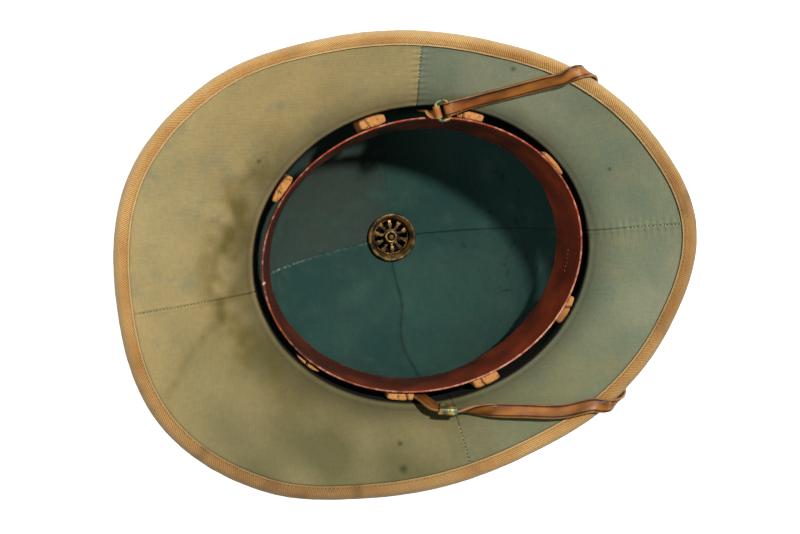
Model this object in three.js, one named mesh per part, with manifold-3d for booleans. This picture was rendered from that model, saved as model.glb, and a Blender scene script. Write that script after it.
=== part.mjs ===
// A pith helmet (a cloth-covered cork sun helmet) standing upside down on its ventilator cap, in millimetres.
// +X points to the front peak, +Y to the wearer's right, and +Z from the crown's top up to the head opening.
// The origin is the centre of the cap's flat top, on the surface that the helmet stands on.
import * as THREE from "three";
import { mergeVertices } from "three/addons/utils/BufferGeometryUtils.js";
import Module from "manifold-3d";

const wasm = await Module();
wasm.setup();

// ---- Driving dimensions ----

const CLEARANCE = 0.3; // between pieces that touch
const SECTIONS = 48; // meridians round the helmet
const HALF_TURN = Math.PI;
const QUARTER_TURN = Math.PI / 2;

// The cork shell's inner face. The crown is a superellipsoid, and a rounded lip joins it to the brim.
const crown = { halfLength: 104.8, halfWidth: 91.3, apexZ: 14.5, wallEndZ: 111, squareness: 2.3 };
const lip = { radius: 8, steps: 2 };
const brim = { flareDeg: 4, steps: 4 }; // flareDeg: how much flatter than its chord the brim starts
const cork = { crownThickness: 5, edgeThickness: 3 };
const cloth = 1; // thickness of the crown lining and of the brim's underlay

// The bound edge's outline, from the front (bearing 0) to the back: how far it reaches from the crown's axis,
// and how high it stands above the surface. The other side mirrors it.
const brimEdge = [
  { bearing: 0, reach: 163.3, height: 148.0 },
  { bearing: 22.5, reach: 153.3, height: 147.0 },
  { bearing: 45, reach: 142.7, height: 144.6 },
  { bearing: 67.5, reach: 134.6, height: 142.4 },
  { bearing: 90, reach: 136.8, height: 142.0 },
  { bearing: 112.5, reach: 148.3, height: 143.9 },
  { bearing: 135, reach: 170.7, height: 147.4 },
  { bearing: 157.5, reach: 187.7, height: 150.7 },
  { bearing: 180, reach: 188.6, height: 152.0 },
];

const binding = { thickness: 0.8, cover: 4.8, steps: 5 }; // cover: how far the tape reaches past its fold
const hatBand = { thickness: 2.6 };
// Every layer of the crown has its rings at the same heights, so that their faces nest.
const crownRings = { domeSteps: 5, bandTopZ: 70, bandSteps: 3, tuckZ: 106 };

// The leather sweatband stands inside the opening, turned a little against the crown.
const sweatband = { halfLength: 98.6, halfWidth: 82.3, skewDeg: 4, thickness: 1.2, edgeZ: 118, width: 36 };
const bandSteps = 3;
// How far its free edge leans in towards the head, round the band.
const bandLean = [
  { bearing: 0, lean: 5.7 },
  { bearing: 45, lean: 7.6 },
  { bearing: 90, lean: 8.4 },
  { bearing: 135, lean: 9.2 },
  { bearing: 180, lean: 9.0 },
  { bearing: 225, lean: 5.4 },
  { bearing: 270, lean: 1.2 },
  { bearing: 315, lean: 3.6 },
];
const corkSpacer = { length: 17, fromZ: 90, toZ: 115.5, columns: 3, rows: 3 };
const corkBearings = [28, 65, 105, 148, 216, 255, 291, 332];

const ventHoleRadius = 13;
const slots = { count: 10, spanDeg: 22, innerRadius: 4.8, outerRadius: 11, fromZ: 12.3, depth: 4.8 };
// The collar's turned section: a boss with the post's hole, a slotted floor, a sleeve and a rolled rim.
const collarSection = [
  { radius: 2.2, z: 12.5 },
  { radius: 4, z: 12.5 },
  { radius: 4, z: 13.5 },
  { radius: 11.7, z: 13.5 },
  { radius: 11.7, z: 10.2 },
  { radius: ventHoleRadius - CLEARANCE, z: 10.2 },
  { radius: ventHoleRadius - CLEARANCE, z: 17.3 },
  { radius: 15.2, z: 17.3 },
  { radius: 15.6, z: 18.4 },
  { radius: 15, z: 19.6 },
  { radius: 14, z: 19.6 },
  { radius: 12.8, z: 18.3 },
  { radius: 11.7, z: 17.4 },
  { radius: 11.7, z: 14.7 },
  { radius: 4, z: 14.7 },
  { radius: 3.4, z: 18 },
  { radius: 2.2, z: 18 },
];
// The cap's turned section: a flat top 36 mm across, a rounded edge, a rim beneath and a post.
const capSection = [
  { radius: 0, z: 0 },
  { radius: 18, z: 0 },
  { radius: 20.4, z: 0.9 },
  { radius: 22, z: 3 },
  { radius: 21.6, z: 6.2 },
  { radius: 19, z: 6.2 },
  { radius: 18, z: 4.7 },
  { radius: 1.8, z: 4.7 },
  { radius: 1.8, z: 20 },
  { radius: 0, z: 20 },
];
const turnedSegments = 40;

// The chin strap is one flat strap. On the right it loops round a brass ring that a short leather tab holds.
// It lies on the brim, folds over the bound edge and runs round the crown's front over the hat band. Then it
// comes back over the other edge and dips, twisting, behind the sweatband on the left.
const strap = { width: 9.5, thickness: 1.8, stepLength: 5, tail: 8 };
const ring = { x: 19, y: 88.2, z: 125, headingDeg: 10, barSpacing: 7, barLength: 12, wire: 0.75 };
const ringCorner = 2.2;
const rimCrossing = { bearing: 44.8, advanceDeg: 3, gap: 1.5 };
const beneathBrim = { x: 109.5, y: 54, z: 115 }; // the strap's way from the rim to the hat band
const atFront = { z: 98, bearing: 2.5 };
// lift: the strap's middle above the shell's inner face. twistDeg: the turn about its own length.
const strapOnRightBrim = [
  { x: 37, y: 91.0, lift: 4.2, twistDeg: 0 },
  { x: 55.8, y: 94.5, lift: 3.4, twistDeg: 0 },
  { x: 79, y: 97.9, lift: 4.2, twistDeg: 0 },
  { x: 92, y: 99.8, lift: 4.8, twistDeg: 0 },
];
const strapOnLeftBrim = [
  { x: 92, y: -101.5, lift: 5.8, twistDeg: 2 },
  { x: 70, y: -102.2, lift: 7.0, twistDeg: 4 },
  { x: 47, y: -99.8, lift: 8.0, twistDeg: 8 },
  { x: 32, y: -98.0, lift: 8.0, twistDeg: 28 },
  { x: 20, y: -96.2, lift: 8.4, twistDeg: 70 },
  { x: 8, y: -95.2, lift: 8.8, twistDeg: 120 },
];
// The last stretch, down between the sweatband and the crown. faceZ: how far the strap's face looks up.
const strapIntoGap = [
  { bearing: 267.8, reach: 92.2, z: 126, faceZ: -0.1 },
  { bearing: 265.8, reach: 88.4, z: 119, faceZ: 0 },
  { bearing: 265, reach: 86.8, z: 108, faceZ: 0 },
  { bearing: 264.8, reach: 86.5, z: 98, faceZ: 0 },
];
const slide = { fromX: -2.5, toX: 8, wall: 0.7, slack: 0.5 }; // the brass slide round the strap's left end
const tab = { width: 7.5, thickness: 1.2, tail: 4 };
const tabIntoGap = [
  { bearing: 83.6, reach: 88.4, z: 124.2, faceZ: 0.7 },
  { bearing: 85.6, reach: 87.6, z: 119.5, faceZ: 0.12 },
  { bearing: 86.2, reach: 87.2, z: 112, faceZ: 0 },
  { bearing: 86.4, reach: 87.0, z: 100, faceZ: 0 },
];

// ---- Curves and tables ----

const radians = THREE.MathUtils.degToRad;
const turn = (bearing) => THREE.MathUtils.euclideanModulo(bearing, 2 * HALF_TURN);

// The distance from an ellipse's centre to its outline at a bearing.
function ellipseReach(halfLength, halfWidth, bearing) {
  return 1 / Math.hypot(Math.cos(bearing) / halfLength, Math.sin(bearing) / halfWidth);
}

// A column's value at a bearing, by a smooth curve through rows that stand evenly round the helmet.
function roundTable(rows, column, bearing) {
  const place = (turn(bearing) / (2 * HALF_TURN)) * rows.length;
  const index = Math.floor(place);
  const valueAt = (step) => rows[(index + step + rows.length) % rows.length][column];
  const [before, from, to, after] = [-1, 0, 1, 2].map(valueAt);
  const share = place - index;
  const bend = 2 * before - 5 * from + 4 * to - after + share * (3 * (from - to) + after - before);
  return from + 0.5 * share * (to - before + share * bend);
}

const wholeEdge = [...brimEdge, ...brimEdge.slice(1, -1).reverse()];

// ---- The shell's inner face, which every layer is offset from ----

const wallReach = (bearing) => ellipseReach(crown.halfLength, crown.halfWidth, bearing);
const crownRise = crown.wallEndZ - crown.apexZ;

// A station is a point of a meridian, { r, z }, with the normal there, { nr, nz }, which points into the
// hollow, and the cork's thickness.
function crownStation(bearing, angle) {
  const power = crown.squareness;
  const reach = wallReach(bearing);
  const r = reach * Math.sin(angle) ** (2 / power);
  const down = crownRise * Math.cos(angle) ** (2 / power);
  const nr = -(r ** (power - 1)) / reach ** power;
  const nz = down ** (power - 1) / crownRise ** power;
  const size = Math.hypot(nr, nz);
  return { r, z: crown.wallEndZ - down, nr: nr / size, nz: nz / size, thickness: cork.crownThickness };
}
const crownAngleAtReach = (bearing, r) => Math.asin((r / wallReach(bearing)) ** (crown.squareness / 2));
const crownAngleAtHeight = (z) => Math.acos(((crown.wallEndZ - z) / crownRise) ** (crown.squareness / 2));

const bindingOuter = cloth + 2 * CLEARANCE + binding.thickness; // above the inner face, at the edge
const bindingUnder = cork.edgeThickness + CLEARANCE + binding.thickness; // below it
const rimRadius = (bindingOuter + bindingUnder) / 2;
const rimOffset = (bindingOuter - bindingUnder) / 2;

function brimCurve(bearing) {
  const reach = wallReach(bearing);
  const edge = new THREE.Vector2(
    roundTable(wholeEdge, "reach", bearing) - rimRadius,
    roundTable(wholeEdge, "height", bearing) - rimRadius / 2,
  );
  const chord = Math.atan2(edge.y - crown.wallEndZ - lip.radius, edge.x - reach - lip.radius);
  const slope = chord - radians(brim.flareDeg);
  const start = new THREE.Vector2(
    reach + lip.radius * (1 - Math.sin(slope)),
    crown.wallEndZ + lip.radius * Math.cos(slope),
  );
  const half = start.distanceTo(edge) / 2;
  const middle = new THREE.Vector2(start.x + half * Math.cos(slope), start.y + half * Math.sin(slope));
  return { curve: new THREE.QuadraticBezierCurve(start, middle, edge), slope };
}

function lipStation(bearing, share, slope) {
  const angle = HALF_TURN + share * (slope - QUARTER_TURN);
  const [nr, nz] = [Math.cos(angle), Math.sin(angle)];
  const r = wallReach(bearing) + lip.radius * (1 + nr);
  return { r, z: crown.wallEndZ + lip.radius * nz, nr, nz, thickness: cork.crownThickness };
}

function brimStation(curve, share) {
  const point = curve.getPoint(share);
  const along = curve.getTangent(share);
  const thickness = THREE.MathUtils.lerp(cork.crownThickness, cork.edgeThickness, share);
  return { r: point.x, z: point.y, nr: -along.y, nz: along.x, thickness };
}

// The crown's stations from one angle to another, both included.
const stationsBetween = (bearing, first, last, steps) =>
  Array.from({ length: steps + 1 }, (_, i) => crownStation(bearing, first + ((last - first) * i) / steps));

const domeStations = (bearing) => {
  const atHole = crownAngleAtReach(bearing, ventHoleRadius);
  return stationsBetween(bearing, atHole, crownAngleAtHeight(crownRings.bandTopZ), crownRings.domeSteps);
};
const wallStations = (bearing) => {
  const [top, end] = [crownRings.bandTopZ, crownRings.tuckZ].map(crownAngleAtHeight);
  return stationsBetween(bearing, top, end, crownRings.bandSteps);
};
const liningStations = (bearing) => [...domeStations(bearing), ...wallStations(bearing).slice(1)];

const brimStations = (bearing) => {
  const { curve, slope } = brimCurve(bearing);
  const lipRow = Array.from({ length: lip.steps }, (_, i) => lipStation(bearing, (i + 1) / lip.steps, slope));
  const brimRow = Array.from({ length: brim.steps }, (_, i) => brimStation(curve, (i + 1) / brim.steps));
  return [...lipRow, ...brimRow];
};

// ---- Solids ----

const bearings = Array.from({ length: SECTIONS }, (_, i) => (2 * HALF_TURN * i) / SECTIONS);

// A station moved along its normal, as a point in space.
function place(station, bearing, offset) {
  const r = station.r + station.nr * offset;
  return new THREE.Vector3(r * Math.cos(bearing), r * Math.sin(bearing), station.z + station.nz * offset);
}

// The solid between two grids of points of one size. wraps joins the last row to the first.
function solidBetween(front, back, wraps) {
  const rows = front.length;
  const columns = front[0].length;
  const points = [...front.flat(), ...back.flat()];
  const backStart = rows * columns;
  const triangles = [];
  const quad = (a, b, c, d) => triangles.push(a, b, c, a, c, d);
  const at = (row, column) => (row % rows) * columns + column;
  for (let i = 0; i < (wraps ? rows : rows - 1); i++) {
    for (let j = 0; j < columns - 1; j++) {
      const [a, b, c, d] = [at(i, j), at(i + 1, j), at(i + 1, j + 1), at(i, j + 1)];
      quad(a, b, c, d);
      quad(d + backStart, c + backStart, b + backStart, a + backStart);
    }
    const [first, next] = [at(i, 0), at(i + 1, 0)];
    const [last, lastNext] = [at(i, columns - 1), at(i + 1, columns - 1)];
    quad(next, first, first + backStart, next + backStart);
    quad(last, lastNext, lastNext + backStart, last + backStart);
  }
  if (!wraps)
    for (let j = 0; j < columns - 1; j++) {
      const [a, b] = [at(0, j), at(0, j + 1)];
      const [c, d] = [at(rows - 1, j), at(rows - 1, j + 1)];
      quad(a, b, b + backStart, a + backStart);
      quad(d, c, c + backStart, d + backStart);
    }
  const geometry = new THREE.BufferGeometry();
  geometry.setAttribute("position", new THREE.Float32BufferAttribute(points.flatMap((p) => p.toArray()), 3));
  geometry.setIndex(facingOut(points, triangles));
  return geometry;
}

// The triangles, turned round if they enclose a negative volume.
function facingOut(points, triangles) {
  let volume = 0;
  for (let i = 0; i < triangles.length; i += 3) {
    const [a, b, c] = [points[triangles[i]], points[triangles[i + 1]], points[triangles[i + 2]]];
    volume += a.dot(b.clone().cross(c));
  }
  return volume > 0 ? triangles : triangles.toReversed();
}

// A closed band of cloth or cork round the helmet: stationsAt gives a meridian, front and back the offsets.
function layer(stationsAt, front, back) {
  const rows = bearings.map((bearing) => stationsAt(bearing).map((station) => ({ station, bearing })));
  const moved = (row, offset) => row.map(({ station, bearing }) => place(station, bearing, offset(station)));
  const grid = (offset) => rows.map((row) => moved(row, offset));
  return solidBetween(grid(front), grid(back), true);
}

function material(color, roughness, metalness = 0) {
  return new THREE.MeshStandardMaterial({ color, roughness, metalness });
}
const helmet = new THREE.Group();

function addPiece(name, geometry, finish) {
  const mesh = new THREE.Mesh(geometry, finish);
  mesh.name = name;
  helmet.add(mesh);
  return mesh;
}

const khakiDrill = material("#b08a4f", 0.9);
const greenCotton = material("#23534d", 0.95);
const paleGreenCotton = material("#7f8a6d", 0.95);
const brownLeather = material("#5a2a1b", 0.5);
const tanLeather = material("#9a6030", 0.5);
const rawCork = material("#c98a50", 0.95);
const brass = material("#8c7438", 0.35, 1);

// ---- Shell, lining, underlay and their trims ----

// The crown and the brim meet under the hat band, at the crown's last ring but one.
const joinRing = -1;
const crownStations = (bearing) => liningStations(bearing).slice(0, joinRing);

function brimShellStations(bearing) {
  const joinZ = crownStations(bearing).at(-1).z + CLEARANCE;
  const lastRing = liningStations(bearing).at(-1);
  const outer = brimStations(bearing);
  const edge = outer.at(-1);
  const noseLength = rimRadius / 2;
  const noseThickness = edge.thickness / 2;
  // The edge narrows into a blunt nose that lies in the fold of the binding.
  const nose = {
    ...edge,
    r: edge.r + noseLength * edge.nz - (noseThickness / 2) * edge.nr,
    z: edge.z - noseLength * edge.nr - (noseThickness / 2) * edge.nz,
    thickness: noseThickness,
  };
  const join = crownStation(bearing, crownAngleAtHeight(joinZ));
  return [join, lastRing, crownStation(bearing, QUARTER_TURN), ...outer, nose];
}
addPiece("pith_crown", layer(crownStations, () => 0, (station) => -station.thickness), khakiDrill);
addPiece("pith_brim", layer(brimShellStations, () => 0, (station) => -station.thickness), khakiDrill);

// The lining stops inside the lip, where the underlay begins.
addPiece("crown_lining", layer(liningStations, () => CLEARANCE + cloth, () => CLEARANCE), greenCotton);
addPiece(
  "brim_underlay",
  layer(
    (bearing) => [
      crownStation(bearing, crownAngleAtHeight(crownRings.tuckZ + 2 * CLEARANCE)),
      crownStation(bearing, QUARTER_TURN),
      ...brimStations(bearing),
    ],
    () => CLEARANCE + cloth,
    () => CLEARANCE,
  ),
  paleGreenCotton,
);

// The binding's section, from its sewn edge on the underlay, round the rim, to its sewn edge on the outside.
function bindingRow(bearing, inset) {
  const { curve } = brimCurve(bearing);
  const length = curve.getLength();
  const flat = (distance) => brimStation(curve, 1 - distance / length);
  const over = (distance) => place(flat(distance), bearing, bindingOuter - inset);
  const under = (distance) => {
    const station = flat(distance);
    return place(station, bearing, inset - station.thickness - CLEARANCE - binding.thickness);
  };
  const edge = brimStation(curve, 1);
  const radius = rimRadius - inset;
  const round = Array.from({ length: binding.steps }, (_, i) => {
    const angle = QUARTER_TURN - (HALF_TURN * i) / (binding.steps - 1);
    const out = radius * Math.cos(angle);
    const station = { ...edge, r: edge.r + out * edge.nz, z: edge.z - out * edge.nr };
    return place(station, bearing, rimOffset + radius * Math.sin(angle));
  });
  const [sewnEdge, halfway] = [binding.cover, binding.cover / 2];
  return [over(sewnEdge), over(halfway), ...round, under(halfway), under(sewnEdge)];
}
addPiece(
  "brim_binding",
  solidBetween(
    bearings.map((bearing) => bindingRow(bearing, 0)),
    bearings.map((bearing) => bindingRow(bearing, binding.thickness)),
    true,
  ),
  khakiDrill,
);

addPiece(
  "hat_band",
  layer(
    wallStations,
    (station) => -station.thickness - CLEARANCE,
    (station) => -station.thickness - CLEARANCE - hatBand.thickness,
  ),
  khakiDrill,
);

// ---- Sweatband and its cork spacers ----

// The band's inner face: its sewn edge is at edgeZ, and its free edge leans in, deeper in the crown.
function bandReach(bearing, z) {
  const depth = THREE.MathUtils.clamp((sweatband.edgeZ - z) / sweatband.width, 0, 1);
  const reach = ellipseReach(sweatband.halfLength, sweatband.halfWidth, bearing - radians(sweatband.skewDeg));
  return reach - roundTable(bandLean, "lean", bearing) * depth ** 1.3;
}
const cylinderPoint = (bearing, r, z) => new THREE.Vector3(r * Math.cos(bearing), r * Math.sin(bearing), z);

function bandFace(offset) {
  return bearings.map((bearing) =>
    Array.from({ length: bandSteps + 1 }, (_, j) => {
      const z = sweatband.edgeZ - (sweatband.width * j) / bandSteps;
      return cylinderPoint(bearing, bandReach(bearing, z) + offset, z);
    }),
  );
}
addPiece("sweatband", solidBetween(bandFace(0), bandFace(sweatband.thickness), true), brownLeather);

// The lining's face at a height on the crown's wall.
function liningReach(bearing, z) {
  const station = crownStation(bearing, crownAngleAtHeight(z));
  return station.r + station.nr * (cloth + CLEARANCE);
}

corkBearings.forEach((degrees, index) => {
  const centre = radians(degrees);
  const halfSpan = corkSpacer.length / 2 / bandReach(centre, sweatband.edgeZ);
  const face = (reachAt) =>
    Array.from({ length: corkSpacer.columns + 1 }, (_, i) => {
      const bearing = centre + halfSpan * ((2 * i) / corkSpacer.columns - 1);
      return Array.from({ length: corkSpacer.rows + 1 }, (_unused, j) => {
        const z = THREE.MathUtils.lerp(corkSpacer.fromZ, corkSpacer.toZ, j / corkSpacer.rows);
        return cylinderPoint(bearing, reachAt(bearing, z), z);
      });
    });
  const atBand = face((bearing, z) => bandReach(bearing, z) + sweatband.thickness + CLEARANCE);
  const atWall = face((bearing, z) => liningReach(bearing, Math.min(z, crown.wallEndZ)) - 2 * CLEARANCE);
  addPiece(`cork_spacer_${index + 1}`, solidBetween(atBand, atWall, false), rawCork);
});

// ---- Ventilator ----

const asSolid = (geometry) => {
  const bare = geometry.clone();
  bare.deleteAttribute("normal");
  bare.deleteAttribute("uv");
  const merged = mergeVertices(bare, 1e-4);
  const vertProperties = new Float32Array(merged.attributes.position.array);
  const mesh = new wasm.Mesh({ numProp: 3, vertProperties, triVerts: new Uint32Array(merged.index.array) });
  return new wasm.Manifold(mesh);
};
const asGeometry = (solid) => {
  const mesh = solid.getMesh();
  const geometry = new THREE.BufferGeometry();
  geometry.setAttribute("position", new THREE.Float32BufferAttribute(mesh.vertProperties, 3));
  geometry.setIndex(Array.from(mesh.triVerts));
  return geometry;
};
// A turned piece from a closed section, listed anticlockwise.
const turned = (section) => {
  const outline = [...section, section[0]].map(({ radius, z }) => new THREE.Vector2(radius, z));
  return new THREE.LatheGeometry(outline, turnedSegments).rotateX(QUARTER_TURN);
};

function collarGeometry() {
  const half = radians(slots.spanDeg) / 2;
  const slotShape = new THREE.Shape();
  slotShape.absarc(0, 0, slots.outerRadius, -half, half, false);
  slotShape.absarc(0, 0, slots.innerRadius, half, -half, true);
  slotShape.closePath();
  const options = { depth: slots.depth, bevelEnabled: false, curveSegments: 3 };
  const slot = new THREE.ExtrudeGeometry(slotShape, options).translate(0, 0, slots.fromZ);
  let cut = asSolid(turned(collarSection));
  for (let i = 0; i < slots.count; i++)
    cut = cut.subtract(asSolid(slot.clone().rotateZ((2 * HALF_TURN * i) / slots.count)));
  return asGeometry(cut);
}
addPiece("vent_collar", collarGeometry(), brass);
addPiece("vent_cap", turned(capSection), khakiDrill);

// ---- Chin strap, its ring, tab and slide ----

// A row of a strap's route is a point of its middle and the way that its face looks.
const up = new THREE.Vector3(0, 0, 1);
const outward = (bearing) => new THREE.Vector3(Math.cos(bearing), Math.sin(bearing), 0);

// The strap's middle at a lift above the brim's inner face.
function routeOnBrim({ x, y, lift, twistDeg }) {
  const bearing = Math.atan2(y, x);
  const { curve } = brimCurve(bearing);
  let [low, high] = [0, 1];
  while (high - low > 1e-6) {
    const share = (low + high) / 2;
    const station = brimStation(curve, share);
    if (station.r + station.nr * lift < Math.hypot(x, y)) low = share;
    else high = share;
  }
  const station = brimStation(curve, low);
  const normal = outward(bearing).multiplyScalar(station.nr).addScaledVector(up, station.nz);
  const face = normal.applyAxisAngle(new THREE.Vector3(1, 0, 0), radians(twistDeg));
  return { point: place(station, bearing, lift), face };
}

// The strap's middle on the bound rim. angle is 90 degrees on top of it and -90 degrees beneath it.
function routeOnRim(bearing, angle) {
  const edge = brimStation(brimCurve(bearing).curve, 1);
  const radius = rimRadius + rimCrossing.gap + strap.thickness / 2;
  const [cos, sin] = [Math.cos(angle), Math.sin(angle)];
  const [faceR, faceZ] = [edge.nz * cos + edge.nr * sin, -edge.nr * cos + edge.nz * sin];
  const station = { r: edge.r + radius * faceR, z: edge.z + radius * faceZ, nr: edge.nr, nz: edge.nz };
  const face = outward(bearing).multiplyScalar(faceR).addScaledVector(up, faceZ);
  return { point: place(station, bearing, rimOffset), face };
}

const routeInGap = ({ bearing, reach, z, faceZ }) => {
  const angle = radians(bearing);
  const face = outward(angle).addScaledVector(up, 4 * faceZ).normalize();
  return { point: cylinderPoint(angle, reach, z), face };
};

// Over the rim on one side (1 is right, -1 is left), then to the crown's front.
function routeOverRim(side) {
  const [middle, advance] = [radians(rimCrossing.bearing), radians(rimCrossing.advanceDeg)];
  const onRim = [80, 40, 0, -40, -80].map((degrees) =>
    routeOnRim(side * (middle + (advance * degrees) / 80), radians(degrees)),
  );
  const beneath = {
    point: new THREE.Vector3(beneathBrim.x, side * beneathBrim.y, beneathBrim.z),
    face: new THREE.Vector3(0.8, side * 0.25, -0.55).normalize(),
  };
  const frontBearing = side * radians(atFront.bearing);
  const front = crownStation(frontBearing, crownAngleAtHeight(atFront.z));
  const offset = cork.crownThickness + hatBand.thickness + 2.5 * CLEARANCE + strap.thickness / 2;
  const onCrown = { point: place(front, frontBearing, -offset), face: outward(frontBearing) };
  return [...onRim, beneath, onCrown];
}

// A strap's end turned round a bar of the ring: heading points from the bar to where the strap goes.
function routeRoundBar(bar, heading, radius, tail) {
  const at = (along, rise, face) => ({
    point: bar.clone().addScaledVector(heading, along).addScaledVector(up, rise),
    face,
  });
  const down = up.clone().negate();
  return [
    at(tail, -radius + 0.5, down), at(0.6, -radius, down),
    at(-radius * 0.71, -radius * 0.71, heading.clone().negate().add(down).normalize()),
    at(-radius, 0, heading.clone().negate()),
    at(-radius * 0.71, radius * 0.71, heading.clone().negate().add(up).normalize()),
    at(0.6, radius, up),
  ];
}

// The sections of a strap along its route: each has its middle, its face and its sideways direction.
function strapSections(route, stepLength) {
  const path = new THREE.CatmullRomCurve3(route.map((row) => row.point), false, "centripetal");
  const sections = [];
  for (let i = 0; i < route.length - 1; i++) {
    const gap = route[i].point.distanceTo(route[i + 1].point);
    const steps = Math.max(1, Math.round(gap / stepLength));
    for (let j = 0; j < steps; j++) sections.push({ row: i, share: j / steps });
  }
  sections.push({ row: route.length - 2, share: 1 });
  return sections.map(({ row, share }) => {
    const t = (row + share) / (route.length - 1);
    const along = path.getTangent(t);
    const face = route[row].face.clone().lerp(route[row + 1].face, share);
    face.addScaledVector(along, -face.dot(along)).normalize();
    return { middle: path.getPoint(t), face, aside: new THREE.Vector3().crossVectors(face, along) };
  });
}

function strapGeometry(sections, width, thickness) {
  const grid = (rise) =>
    sections.map(({ middle, face, aside }) =>
      [-width / 2, width / 2].map((across) =>
        middle.clone().addScaledVector(face, rise).addScaledVector(aside, across),
      ),
    );
  return solidBetween(grid(thickness / 2), grid(-thickness / 2), false);
}

const ringCentre = new THREE.Vector3(ring.x, ring.y, ring.z);
const ringHeading = outward(radians(ring.headingDeg));
const ringBar = (side) => ringCentre.clone().addScaledVector(ringHeading, (side * ring.barSpacing) / 2);

const wrapRadius = (thickness) => ring.wire + CLEARANCE + thickness / 2;
const leftRim = routeOverRim(-1);
const strapRoute = [
  ...routeRoundBar(ringBar(1), ringHeading, wrapRadius(strap.thickness), strap.tail),
  ...strapOnRightBrim.map(routeOnBrim),
  ...routeOverRim(1),
  ...leftRim.reverse(),
  ...strapOnLeftBrim.map(routeOnBrim),
  ...strapIntoGap.map(routeInGap),
];
const strapRows = strapSections(strapRoute, strap.stepLength);
addPiece("chin_strap", strapGeometry(strapRows, strap.width, strap.thickness), tanLeather);

const tabHeading = ringHeading.clone().negate();
const tabRoute = [
  ...routeRoundBar(ringBar(-1), tabHeading, wrapRadius(tab.thickness), tab.tail),
  ...tabIntoGap.map(routeInGap),
];
addPiece("strap_tab", strapGeometry(strapSections(tabRoute, 3), tab.width, tab.thickness), tanLeather);

// A round bar bent to a rectangle: a torus whose four quarters are moved apart.
function ringGeometry() {
  const segments = 24;
  const [apartX, apartY] = [ring.barSpacing / 2 - ringCorner, ring.barLength / 2 - ringCorner];
  const geometry = new THREE.TorusGeometry(ringCorner, ring.wire, 8, segments).rotateZ(HALF_TURN / segments);
  const points = geometry.attributes.position;
  for (let i = 0; i < points.count; i++) {
    points.setX(i, points.getX(i) + Math.sign(points.getX(i)) * apartX);
    points.setY(i, points.getY(i) + Math.sign(points.getY(i)) * apartY);
  }
  return geometry.rotateZ(radians(ring.headingDeg)).translate(ring.x, ring.y, ring.z);
}
addPiece("strap_ring", ringGeometry(), brass);

// A flat tube that follows the strap, a little larger than it.
function slideGeometry() {
  const onLeftBrim = ({ middle }) => middle.y < 0 && middle.z > crown.wallEndZ;
  const inSlide = ({ middle }) => middle.x > slide.fromX && middle.x < slide.toX;
  const rows = strapRows.filter((row) => onLeftBrim(row) && inSlide(row));
  const tube = (wall) =>
    [[-1, -1], [1, -1], [1, 1], [-1, 1]].map(([acrossSign, riseSign]) =>
      rows.map(({ middle, face, aside }) =>
        middle
          .clone()
          .addScaledVector(aside, acrossSign * (strap.width / 2 + slide.slack + wall))
          .addScaledVector(face, riseSign * (strap.thickness / 2 + slide.slack + wall)),
      ),
    );
  return solidBetween(tube(slide.wall), tube(0), true);
}
addPiece("strap_slide", slideGeometry(), brass);

export default helmet;
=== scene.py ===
# A cloth-covered cork sun helmet, upside down on its cap, with its lining, sweatband and chin strap showing.
import math
import random
from functools import lru_cache

import bmesh
import bpy
from mathutils import Matrix, Vector, noise


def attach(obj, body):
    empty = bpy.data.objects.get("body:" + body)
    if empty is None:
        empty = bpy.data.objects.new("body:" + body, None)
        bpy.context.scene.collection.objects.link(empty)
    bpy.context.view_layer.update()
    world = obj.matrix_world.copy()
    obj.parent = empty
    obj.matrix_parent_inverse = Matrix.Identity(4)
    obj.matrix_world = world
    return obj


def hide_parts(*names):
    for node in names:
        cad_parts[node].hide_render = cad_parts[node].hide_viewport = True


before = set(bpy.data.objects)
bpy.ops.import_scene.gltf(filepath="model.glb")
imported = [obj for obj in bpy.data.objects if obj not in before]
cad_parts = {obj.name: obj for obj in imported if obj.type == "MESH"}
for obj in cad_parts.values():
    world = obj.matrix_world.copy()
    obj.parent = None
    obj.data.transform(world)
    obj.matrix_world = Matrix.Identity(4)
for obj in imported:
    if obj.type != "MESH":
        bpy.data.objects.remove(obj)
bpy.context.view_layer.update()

# ---- Camera, floor and studio lights ----
# The camera looks down into the upturned helmet from 1.3 m, along a view that leans to the back and to the
# wearer's right. One small soft lamp stands high beyond the front peak, and a weak one low behind the back.
MM = 0.001
CAMERA_FAR, SENSOR_WIDTH, LENS = 1.3, 36, 99.01
LEAN_BACK, LEAN_RIGHT, CAMERA_ROLL = math.radians(10.717), math.radians(8.666), math.radians(5.961)

aim = Vector((-20.9, -0.55, 146)) * MM
towards_camera = Vector((-math.tan(LEAN_BACK), math.tan(LEAN_RIGHT), 1)).normalized()
level_right = (-towards_camera).cross(Vector((0, 1, 0))).normalized()
level_up = level_right.cross(-towards_camera)
camera_right = level_right * math.cos(CAMERA_ROLL) - level_up * math.sin(CAMERA_ROLL)
camera_up = level_right * math.sin(CAMERA_ROLL) + level_up * math.cos(CAMERA_ROLL)

camera_data = bpy.data.cameras.new("camera")
camera_data.sensor_width = SENSOR_WIDTH
camera_data.lens = LENS
camera_data.clip_end = 50
camera = bpy.data.objects.new("camera", camera_data)
bpy.context.scene.collection.objects.link(camera)
camera.matrix_world = Matrix.Translation(aim + CAMERA_FAR * towards_camera) @ Matrix(
    (camera_right, camera_up, towards_camera)
).transposed().to_4x4()
bpy.context.scene.camera = camera


def colour(hex_code):
    """A colour's sRGB hex code as linear red, green, blue and alpha."""
    shares = [int(hex_code[i : i + 2], 16) / 255 for i in (1, 3, 5)]
    linear = [c / 12.92 if c <= 0.04045 else ((c + 0.055) / 1.055) ** 2.4 for c in shares]
    return (*linear, 1.0)


def node(tree, kind, links=None, **settings):
    """Adds a node. links gives each input a value or the output socket that feeds it."""
    made = tree.nodes.new(kind)
    for name, value in settings.items():
        setattr(made, name, value)
    for name, value in (links or {}).items():
        if isinstance(value, bpy.types.NodeSocket):
            tree.links.new(value, made.inputs[name])
        else:
            made.inputs[name].default_value = value
    return made


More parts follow.
